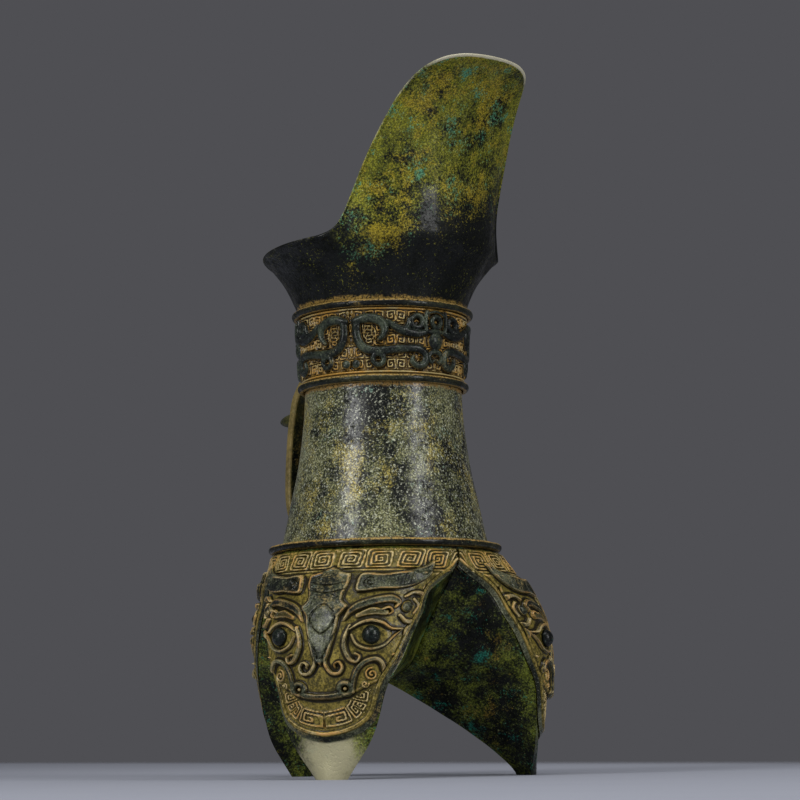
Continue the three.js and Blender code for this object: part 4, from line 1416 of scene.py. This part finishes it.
@dataclass
class Mask:
    """The animal mask on a leg's face, between a strip of square spirals and a patterned chin."""

    side: str
    form: LegForm
    finish: Patina
    foot_z: float = 11.5
    top_drop: float = 0.7
    under: float = 0.3
    ground: float = 1.1
    field_rise: float = 0.95
    brow_z: float = 64.6
    edge_inset: Spot = (2.8, 3.8)
    strip_cell: float = 9.2
    strip_winds: float = 3.2
    strip_rise: float = 0.45
    chin_cell: Spot = (4.9, 5.7)
    chin_start: float = 3.7
    chin_reach: float = 9.6
    chin_top: float = 36.0
    chin_winds: float = 2.4
    chin_rise: float = 0.5
    rim_inset: float = 2.5
    rim_rise: float = 0.6
    rim_bevel: Spot = (0.35, 0.75)
    edge_drop: float = 0.75
    skin: float = 0.05
    skin_length: float = 5.0
    spread: float = 1.25
    columns: int = 281
    rows: int = 249
    full_height: float = 1.2

    def edge_share(self, z: np.ndarray) -> np.ndarray:
        """Half the plate's width, as a share of the face's.

        Args:
            z: Heights.

        Returns:
            The share at each height.
        """
        edge = Curve((0, 0.06), (0.7, 0.38), (1.7, 0.58), (3, 0.75), (5.7, 0.92), (9.3, 0.985))
        return edge(z - self.foot_z)

    def border(self) -> np.ndarray:
        """The plate's edge from the middle of its foot up to the arch.

        Returns:
            Its points on the mask's chart.
        """
        z = np.linspace(self.foot_z, self.form.arch_z, 90)
        _, radius, turn = self.form.arc(z)
        edge = np.column_stack([radius * turn * self.edge_share(z), z])
        return np.vstack([[0.0, self.foot_z], edge])

    def upper_face(self, relief: Relief) -> None:
        """Draws the shield on the forehead, the horn, the brow and the ear.

        Args:
            relief: Heights over (distance from the middle, height).
        """
        shield = [(-3, 64.3), (4.8, 64.3), (6.5, 63.4), (6.4, 60.4), (5.5, 57.4), (5.6, 55.4), (7.3, 53.6),
                  (6.3, 51.8), (5.2, 50), (4.9, 47), (4.2, 43.6), (3.3, 40.2), (2.5, 37.4), (1.2, 35.8),
                  (-3, 35.6)]
        relief.plate(shield, 1.25, 0.5, 0.3)
        for level in (60.3, 57.9):
            relief.line([(-3, level - 0.3), (1.5, level), (5.2, level + 0.9)], 0.7, -0.5)
        relief.line([(0, 54.2), (3.9, 49.7), (0, 44.9), (-3.9, 49.7)], 0.6, -0.55, True)
        relief.coil((2.7, 56.3), 1.2, 1.1, 200, -1, 0.5, -0.45)
        relief.line([(4.6, 45.8), (3.2, 42.8), (1.5, 39.4), (0.9, 37.2)], 0.6, -0.5)
        horn = [(8.7, 58.1), (8.3, 60.8), (9.1, 63.7), (11.6, 64.3), (15.7, 63.9), (19.9, 64.5), (24.9, 65.5),
                (28.4, 66.7), (31, 68.4), (31.4, 66), (30.6, 63.4), (28.6, 61.4), (25, 59.5), (20.6, 58.6),
                (15.6, 58.5), (11.6, 57.9)]
        relief.plate(horn, 1.3, 0.5, 0.35)
        relief.coil((12.4, 61.1), 1.9, 1.7, 250, -1, 0.55, -0.6)
        for k, across in enumerate((16.6, 18.6, 20.6, 22.6, 24.6)):
            relief.line([(across, 60.2 + 0.15 * k), (across + 0.2, 63 + 0.25 * k)], 0.7, -0.4)
        relief.dome((28.3, 64.1), 1.3, 1.9)
        brow = [(6.4, 49), (8.2, 51.9), (10.8, 53.7), (15.1, 55.1), (19.4, 55.7), (21.9, 54.6), (21.2, 53)]
        relief.strap(brow, (0.9, 2.3, 2.8, 2.8, 2.8, 2.0, 1.1), 1.35, 0.5)
        relief.line(brow[1:6], 0.9, -0.4)
        relief.strap([(10.4, 50.4), (14.2, 51.7), (18.6, 51.3)], (1.8, 3.0, 2.2), 0.9, 0.6)
        curl = [(17.2, 52.2), (19.2, 52.9), (20.4, 51.6), (19.4, 50.7)]
        relief.strap(curl, (1.0, 1.1, 0.9, 0.7), 1.5, 0.35)
        ear = [(22.8, 50.4), (24.9, 48.5), (28.2, 48.9), (30.3, 51.6), (30.5, 54.8), (29, 57.2), (26, 57.6),
               (23.8, 56.4)]
        relief.strap(ear, (1.1, 1.7, 1.8, 1.8, 1.8, 1.7, 1.5, 1.0), 1.5, 0.4)
        relief.dome((24.7, 53.2), 1.8, 1.8)
        relief.strap([(26.7, 55.6), (28.4, 53.6), (27.2, 51.2)], 1.0, 1.0, 0.35)

    def lower_face(self, relief: Relief) -> None:
        """Draws the eye's lids, the nose's curls, the cheek and the jaw.

        Args:
            relief: Heights over (distance from the middle, height).
        """
        upper_lid = [(8.4, 46.1), (11.3, 48), (14.4, 48.8), (17.7, 48), (20.4, 46.3), (24, 46.2)]
        lower_lid = [(8.9, 44.4), (10.6, 41.4), (14.2, 40), (18.2, 41), (21.1, 43.8), (23.8, 46)]
        wing = [(8.3, 47.2), (7.1, 43.8), (7, 40.4), (8.6, 36.9), (10.6, 36.1), (11.4, 37.7), (10.1, 38.6)]
        nostril = [(1.4, 38.2), (1.7, 35.2), (3.3, 32.8), (5.5, 32.6), (6.5, 34.3), (5.6, 36), (4.2, 35.4),
                   (4.4, 34.3)]
        cheek = [(26.8, 47.8), (24.9, 45.4), (25.4, 42), (23.6, 39), (21.2, 38.2)]
        jaw = [(9.3, 26.8), (9.6, 30.2), (10.8, 33.7), (13.1, 36.1), (15.9, 36.9), (17.8, 35.8), (18.7, 33.1),
               (19.8, 31), (21.6, 31.3), (22.4, 33), (21.4, 34.5), (20.3, 33.7)]
        mouth = [(-2, 25.4), (2.2, 25.4), (5.6, 25.9)]
        for points, width, height, bevel in (
            (upper_lid, (0.9, 1.4, 1.6, 1.5, 1.2, 0.6), 1.75, 0.4),
            (lower_lid, (0.8, 1.2, 1.3, 1.2, 0.9, 0.5), 1.45, 0.4),
            (wing, (1.1, 1.5, 1.7, 1.6, 1.3, 1.0, 0.7), 1.5, 0.4),
            (nostril, (1.1, 1.4, 1.5, 1.4, 1.2, 1.0, 0.8, 0.6), 1.7, 0.4),
            (cheek, (1.0, 1.6, 1.7, 1.4, 0.8), 1.3, 0.4),
            (jaw, (1.4, 1.7, 1.8, 1.8, 1.8, 1.7, 1.7, 1.6, 1.4, 1.2, 0.9, 0.7), 1.6, 0.45),
            (mouth, 2.3, 1.6, 0.5),
        ):
            relief.strap(points, width, height, bevel)
        for k, across in enumerate((22.6, 24.2, 25.8)):
            low = 34.2 + 1.7 * k
            relief.strap([(across - 0.6, low), (across + 1.4, low + 3)], (0.9, 1.5), 1.1)
        for centre, radius, height, hole in (
            ((14.6, 44.2), 6.2, 0.5, 0.0), ((27.3, 43.3), 1.6, 1.6, 0.0), ((7.2, 27.8), 2.6, 1.6, 1.0),
            ((7.2, 27.8), 0.7, 0.9, 0.0),
        ):
            relief.dome(centre, radius, height, hole)
        relief.coil((15, 32.2), 2.0, 1.5, 90, 1, 0.7, 0.7)
        relief.coil((13, 29.2), 1.2, 1.2, 0, -1, 0.6, 0.5)

    def draw(self, relief: Relief) -> tuple[np.ndarray, np.ndarray]:
        """Draws half of the mask.

        Args:
            relief: Heights over (distance from the middle, height).

        Returns:
            How much each point of the chart lies in the mask's raised field, and on the plate's edge.
        """
        edge = self.border()
        inward, along = relief.gap(edge, np.arange(relief.across.size))
        lip = Curve((0, 24.3), (5, 24.8), (9, 25.9), (13, 28), (17, 29.8), (21, 31.4), (25, 35), (28, 42),
                    (30, 60))
        over_lip = relief.up - lip(relief.across)
        over_brow = relief.up - self.brow_z
        inside = eased(inward, *self.edge_inset)
        raised = eased(over_lip, -0.2, 0.9) * (1 - eased(over_brow, -0.6, 0.3)) * inside
        self.upper_face(relief)
        self.lower_face(relief)
        relief.height *= inside
        top = self.form.shoulder_z - self.top_drop
        strip = eased(over_brow, 0.7, 1.0) * (relief.height < 0.1) * inside
        cell = (self.strip_cell, top - self.brow_z - 1.0)
        relief.thunder(strip, cell, (0.0, self.brow_z + 0.8), self.strip_winds, self.strip_rise)
        relief.strap([(-2, self.brow_z + 0.4), (60, self.brow_z + 0.4)], 0.9, 0.55, 0.3)
        length = np.hypot(*np.diff(edge, axis=0).T).sum()
        chin = (1 - eased(over_lip, -1.2, -0.7)) * eased(inward, 3.4, 3.8) * (relief.up < self.chin_top)
        chart = (along * length, inward)
        relief.thunder(chin * (inward < self.chin_reach), self.chin_cell, (0.0, self.chin_start),
                       self.chin_winds, self.chin_rise, chart)
        rim = self.rim_rise * (1 - eased(np.abs(inward - self.rim_inset), *self.rim_bevel))
        relief.height = np.maximum(relief.height, rim)
        relief.height -= self.edge_drop * (1 - eased(inward, 0.2, 1.5))
        return raised, 1 - eased(inward, 1.5, 2.0)

    def build(self) -> None:
        """Makes the plate with its relief."""
        form = self.form
        top = form.shoulder_z - self.top_drop
        z = np.linspace(self.foot_z, top, self.rows)[:, None]
        spread = np.sin(np.linspace(-1, 1, self.columns) * self.spread)[None, :] / math.sin(self.spread)
        share = self.edge_share(z) * spread
        _, radius, turn = form.arc(z)
        relief = Relief(np.abs(radius * turn * share), z + 0 * share)
        raised, bevel = self.draw(relief)
        tops = np.maximum(relief.height / self.full_height, bevel).clip(0, 1)
        relief.height += self.field_rise * raised
        grain = self.skin * waves(form.face(z, share, 0 * share), self.skin_length, 41)
        front = form.place(form.face(z, share, self.ground + relief.shaped() + grain))
        back = form.place(form.face(z, share, self.under + 0 * share))[::BACK_STEP, ::BACK_STEP]
        marks = {"relief": tops, "edge": standing(relief.shaped(), 5) * EDGE_STRENGTH}
        piece = Sheet(f"cast_mask_{self.side}", front, back, False, marks, RELIEF_SHARP).build()
        settle(piece, f"mask_plate_{self.side}", self.finish.material())


@dataclass
class Eye:
    """One of a mask's two eyeballs."""

    side: str
    hand: int
    form: LegForm
    finish: Patina
    height: float = 44.3
    share: float = 0.51
    seat: float = 2.2
    radius: float = 2.95
    stem: float = 0.5
    proud: float = 2.72

    def build(self) -> None:
        """Makes the eyeball as a dome on a short stem."""
        z = np.array(self.height)
        share = np.array(self.share * self.hand)
        base = self.form.place(self.form.face(z, share, np.array(self.seat)))
        tip = self.form.place(self.form.face(z, share, np.array(self.seat + 1.0)))
        rise = np.linspace(0, math.pi / 2, 12)
        swell = zip(self.radius * np.cos(rise), self.stem + self.proud * np.sin(rise))
        profile = [(self.radius * 0.9, 0.0), *swell]
        which = "left" if self.hand > 0 else "right"
        piece = round_body(f"cast_eye_{self.side}_{which}", base, tip - base, profile)
        settle(piece, f"eye_boss_{self.side}_{which}", self.finish.material())


@dataclass
class Handle:
    """The flat strap behind the neck, with a knob at its bend."""

    finish: Patina
    node: str = "handle"
    width: float = 12.0
    thick: float = 3.6
    reach: float = 49.1
    top_z: float = 138.0
    foot_z: float = 83.0
    top_in: float = 29.3
    foot_in: float = 32.9
    bend: float = 21.0
    turn: float = 12.0
    knob_drop: float = 14.4
    knob_root: float = 4.7
    knob_half_w: float = 4.0
    knob_half_h: float = 2.9
    width_power: float = 0.35
    thick_power: float = 0.5
    dip: float = 0.35
    dip_half: float = 0.75
    rubbed_from: float = 0.88
    rubbed: float = 0.8
    around: int = 32

    def route(self) -> np.ndarray:
        """The strap's middle line.

        Returns:
            Its [radius, height] points.
        """
        run = self.reach - self.thick / 2
        high = [(0.51, 0.06), (0.35, 0.21), (0.2, 0.41), (0.12, 0.69), (0.06, 1)]
        low = [(0, 1.8), (0, 1), (0.17, 0.47), (0.61, 0.12)]
        points = [(self.top_in, self.top_z)]
        points += [(run - self.bend * i, self.top_z - self.bend * d) for i, d in high]
        points += [(run - self.turn * i, self.foot_z + self.turn * u) for i, u in low]
        points.append((self.foot_in, self.foot_z))
        return smooth_path(points, False, 8)

    def build(self) -> None:
        """Makes the strap with soft edges, and the knob."""
        line = self.route()
        step = np.gradient(line, axis=0)
        step /= np.linalg.norm(step, axis=1)[:, None]
        angle = turns(self.around)
        half_w, half_t = self.width / 2, self.thick / 2
        across = half_w * np.sign(np.cos(angle)) * np.abs(np.cos(angle)) ** self.width_power
        through = half_t * np.sign(np.sin(angle)) * np.abs(np.sin(angle)) ** self.thick_power
        dip = self.dip * np.cos(across / half_w * math.pi / 2) * np.sign(through)
        through = through - dip * (np.abs(across) < half_w * self.dip_half)
        radius = line[:, :1] + step[:, 1:] * through
        height = line[:, 1:] - step[:, :1] * through
        points = np.stack([-radius, np.tile(across, (len(line), 1)), height], axis=-1)
        last = len(line) * self.around - 1
        faces = grid_faces(len(line), self.around, True)[:, ::-1].tolist()
        faces += [tuple(range(self.around)), tuple(range(last, last - self.around, -1))]
        rub = (np.abs(across) > half_w * self.rubbed_from) * self.rubbed
        strap = make_piece("cast_handle", points, faces, SHARP, {"relief": np.tile(rub, len(line))})
        settle(strap, self.node, self.finish.material())
        root = self.reach - self.knob_root
        length = -extents(self.node)[0][0] - root
        rise = np.linspace(0, math.pi / 2, 14)
        dome = list(zip(self.knob_half_w * np.cos(rise), length * np.sin(rise)))
        centre = np.array([-root, 0.0, self.top_z - self.knob_drop])
        squash = self.knob_half_h / self.knob_half_w
        knob = round_body("cast_knob", centre, np.array([-1.0, 0.0, 0.0]), dome, squash)
        settle(knob, self.node, self.finish.material())


# The spout's finish paints shade: black below a slanted level near the rim's height, and on the flare where
# the mouth's shade mark lies.
SPOUT_PATINA = Patina(
    "spout_patina", black=srgb(9, 12, 9), body=srgb(90, 94, 26), olive=srgb(134, 134, 38),
    ochre=srgb(160, 142, 40), mineral=srgb(84, 142, 108), pale=srgb(190, 186, 124), lip=srgb(200, 194, 170),
    earth=srgb(150, 122, 60), body_from=0.45, olive_from=0.485, ochre_from=0.54, mineral_from=0.545,
    grit=0.62, dark=(0.17, 0.188), coat=0.3, seed=3.0,
)
NECK_PATINA = Patina(
    "neck_patina", black=srgb(9, 12, 9), body=srgb(80, 84, 44), olive=srgb(146, 146, 106),
    ochre=srgb(164, 150, 76), mineral=srgb(118, 144, 126), pale=srgb(204, 206, 182), body_from=0.492,
    olive_from=0.507, ochre_from=0.545, mineral_from=0.57, pale_from=0.54, grit=0.8, coat=0.75,
    coat_rough=0.26, seed=19.0, stretch=1.6,
)
RIB_PATINA = Patina(
    "rib_patina", black=srgb(8, 10, 7), body=srgb(30, 34, 22), olive=srgb(62, 62, 36),
    ochre=srgb(114, 96, 48), mineral=srgb(62, 88, 78), pale=srgb(150, 148, 120), earth=srgb(172, 142, 80),
    body_from=0.49, olive_from=0.54, ochre_from=0.6, coat=0.4, seed=37.0,
)
LEG_PATINA = Patina(
    "leg_patina", black=srgb(4, 7, 2), body=srgb(50, 58, 16), olive=srgb(118, 126, 44),
    ochre=srgb(138, 112, 42), mineral=srgb(34, 118, 98), pale=srgb(170, 172, 116), lip=srgb(170, 164, 132),
    body_from=0.492, olive_from=0.52, ochre_from=0.6, mineral_from=0.55, grit=0.62, seed=53.0,
)
HANDLE_PATINA = Patina(
    "handle_patina", black=srgb(10, 12, 6), body=srgb(46, 50, 26), olive=srgb(82, 80, 36),
    ochre=srgb(124, 102, 46), mineral=srgb(54, 96, 78), pale=srgb(146, 142, 104), lip=srgb(140, 122, 74),
    seed=71.0,
)
EYE_PATINA = Patina(
    "eye_patina", black=srgb(8, 11, 9), body=srgb(26, 36, 30), olive=srgb(52, 62, 44),
    ochre=srgb(90, 84, 46), mineral=srgb(54, 92, 82), pale=srgb(130, 138, 118), body_from=0.47,
    olive_from=0.54, ochre_from=0.6, gloss=0.16, coat=0.5, seed=83.0,
)
BAND_PATINA = ReliefPatina(
    "band_patina", black=srgb(12, 15, 13), body=srgb(40, 48, 40), olive=srgb(76, 84, 66),
    ochre=srgb(112, 100, 60), mineral=srgb(72, 94, 98), pale=srgb(160, 164, 150), earth=srgb(176, 134, 62),
    groove=srgb(26, 19, 6), crest=srgb(178, 160, 108), field_low=srgb(66, 50, 18),
    field_high=srgb(134, 106, 46), body_from=0.48, olive_from=0.515, ochre_from=0.6, worn=0.25, coat=0.4,
    seed=97.0,
)
MASK_PATINA = ReliefPatina(
    "mask_patina", black=srgb(18, 22, 16), body=srgb(62, 66, 46), olive=srgb(108, 110, 84),
    ochre=srgb(134, 116, 70), mineral=srgb(88, 104, 104), pale=srgb(176, 176, 152), earth=srgb(182, 142, 80),
    groove=srgb(32, 27, 9), crest=srgb(188, 168, 118), field_low=srgb(64, 58, 20),
    field_high=srgb(140, 124, 56), body_from=0.475, olive_from=0.505, ochre_from=0.57, worn=0.85, coat=0.35,
    seed=113.0,
)


@dataclass
class Vessel:
    """The whole vessel, built up from its castings."""

    sides: tuple[tuple[str, float], ...] = (("front_right", -60), ("front_left", 60), ("rear", 180))
    # The leg nearest the camera gets the pale foot, partly a painted highlight.
    pale_side: str = "front_right"

    def build(self) -> None:
        """Makes every casting in order, from the mouth down."""
        Mouth(SPOUT_PATINA).build()
        Rib("band_top_rib", 28.9, RIB_PATINA).build()
        DragonBand(BAND_PATINA).build()
        Rib("band_bottom_rib", 26.9, RIB_PATINA).build()
        Neck(NECK_PATINA).build()
        Rib("shoulder_rib", 35.3, RIB_PATINA).build()
        Handle(HANDLE_PATINA).build()
        for side, azimuth in self.sides:
            form = LegForm(azimuth)
            Leg(side, form, LEG_PATINA, side == self.pale_side).build()
            Mask(side, form, MASK_PATINA).build()
            for hand in (1, -1):
                Eye(side, hand, form, EYE_PATINA).build()


@dataclass(frozen=True)
class Lamp:
    """A soft lamp that faces the vessel: metres and watts, and degrees to the right of the camera."""

    name: str
    bearing: float
    out: float
    height: float
    width: float
    length: float
    watts: float

    def hang(self, azimuth: float) -> None:
        """Hangs the lamp.

        Args:
            azimuth: Where the camera stands, in radians.
        """
        data = bpy.data.lights.new(self.name, "AREA")
        data.shape = "RECTANGLE"
        data.size, data.size_y = self.width, self.length
        data.energy = self.watts
        lamp = bpy.data.objects.new(self.name, data)
        angle = azimuth + math.radians(self.bearing)
        lamp.location = (self.out * math.sin(angle), -self.out * math.cos(angle), self.height)
        aim = Vector((0, 0, CAD_HIGH.z / 2)) - lamp.location
        lamp.rotation_euler = aim.to_track_quat("-Z", "Y").to_euler()
        bpy.context.scene.collection.objects.link(lamp)


@dataclass
class Studio:
    """The table, the light and the camera."""

    azimuth: float = math.radians(52)
    distance: float = 797 * MM
    eye_height: float = 12 * MM
    lens: float = 108.0
    film: float = 36.0
    tilt: float = math.radians(8.06)
    turn: float = math.radians(0.4)
    lean: float = math.radians(-0.75)
    table_far: float = 0.283
    table_near: float = 0.7
    table_half: float = 1.3
    table_fade: float = 0.07
    table_turn: float = math.radians(-2.3)
    table_rough: float = 0.8
    sky: Colour = (0.9, 0.92, 0.96)
    sky_strength: float = 0.3
    room: Colour = srgb(79, 79, 83)
    lamps: tuple[Lamp, ...] = (
        Lamp("key", bearing=-44, out=0.95, height=0.5, width=0.32, length=0.7, watts=6.0),
        Lamp("fill", bearing=48, out=0.95, height=0.42, width=0.32, length=0.7, watts=4.5),
        Lamp("top", bearing=5, out=0.4, height=1.05, width=0.6, length=0.6, watts=3.5),
    )

    def table(self) -> None:
        """Lays a pale table whose far edge fades into the backdrop."""
        near, far, half = -self.table_near, self.table_far + self.table_fade, self.table_half
        corners = [(-half, near, 0), (half, near, 0), (half, far, 0), (-half, far, 0)]
        mesh = bpy.data.meshes.new("studio_table")
        mesh.from_pydata(corners, [], [(0, 1, 2, 3)])
        tree = Tree(bpy.data.materials.new("pale_table"))
        tone = tree.coats(srgb(146, 149, 161), (tree.noise(Pattern.TABLE), srgb(152, 155, 166)))
        fade = 1.0 - tree.axis("Y").step((self.table_far - self.table_fade, far))
        mesh.materials.append(tree.finish({"Base Color": tone, "Roughness": self.table_rough, "Alpha": fade}))
        sheet = bpy.data.objects.new("studio_table", mesh)
        sheet.rotation_euler.z = self.table_turn
        bpy.context.scene.collection.objects.link(sheet)

    def light(self) -> None:
        """Sets the lamps, an even sky, and a grey room that the camera and the glosses see."""
        for lamp in self.lamps:
            lamp.hang(self.azimuth)
        world = bpy.data.worlds.new("grey_room")
        tree = Tree(world)
        rays = [tree.node("ShaderNodeLightPath", output=f"Is {kind} Ray")
                for kind in ("Camera", "Glossy", "Transmission")]
        sky = tree.node("ShaderNodeBackground", None, {"Color": self.sky, "Strength": self.sky_strength})
        room = tree.node("ShaderNodeBackground", None, {"Color": self.room, "Strength": 1.0})
        seen = tree.node("ShaderNodeMixShader", None, {0: rays[0] + rays[1] + rays[2], 1: sky, 2: room})
        tree.node("ShaderNodeOutputWorld", None, {"Surface": seen})
        bpy.context.scene.world = world

    def camera(self) -> None:
        """Stands the camera where the photograph was taken."""
        data = bpy.data.cameras.new("view")
        data.sensor_width = self.film
        data.lens = self.lens
        camera = bpy.data.objects.new("view", data)
        spot = Matrix.Translation((
            self.distance * math.sin(self.azimuth), -self.distance * math.cos(self.azimuth), self.eye_height,
        ))
        heading = Matrix.Rotation(self.azimuth - self.turn, 4, "Z")
        pitch = Matrix.Rotation(math.pi / 2 + self.tilt, 4, "X")
        roll = Matrix.Rotation(self.lean, 4, "Z")
        camera.matrix_world = spot @ heading @ pitch @ roll
        bpy.context.scene.collection.objects.link(camera)
        bpy.context.scene.camera = camera

    def build(self) -> None:
        """Builds the whole set."""
        self.camera()
        self.light()
        self.table()
        bpy.context.scene.view_settings.view_transform = "Standard"


def main() -> None:
    """Builds the set and the vessel."""
    logging.basicConfig(level=logging.INFO, format="%(name)s: %(message)s")
    Studio().build()
    Vessel().build()


if __name__ == "__main__":
    main()
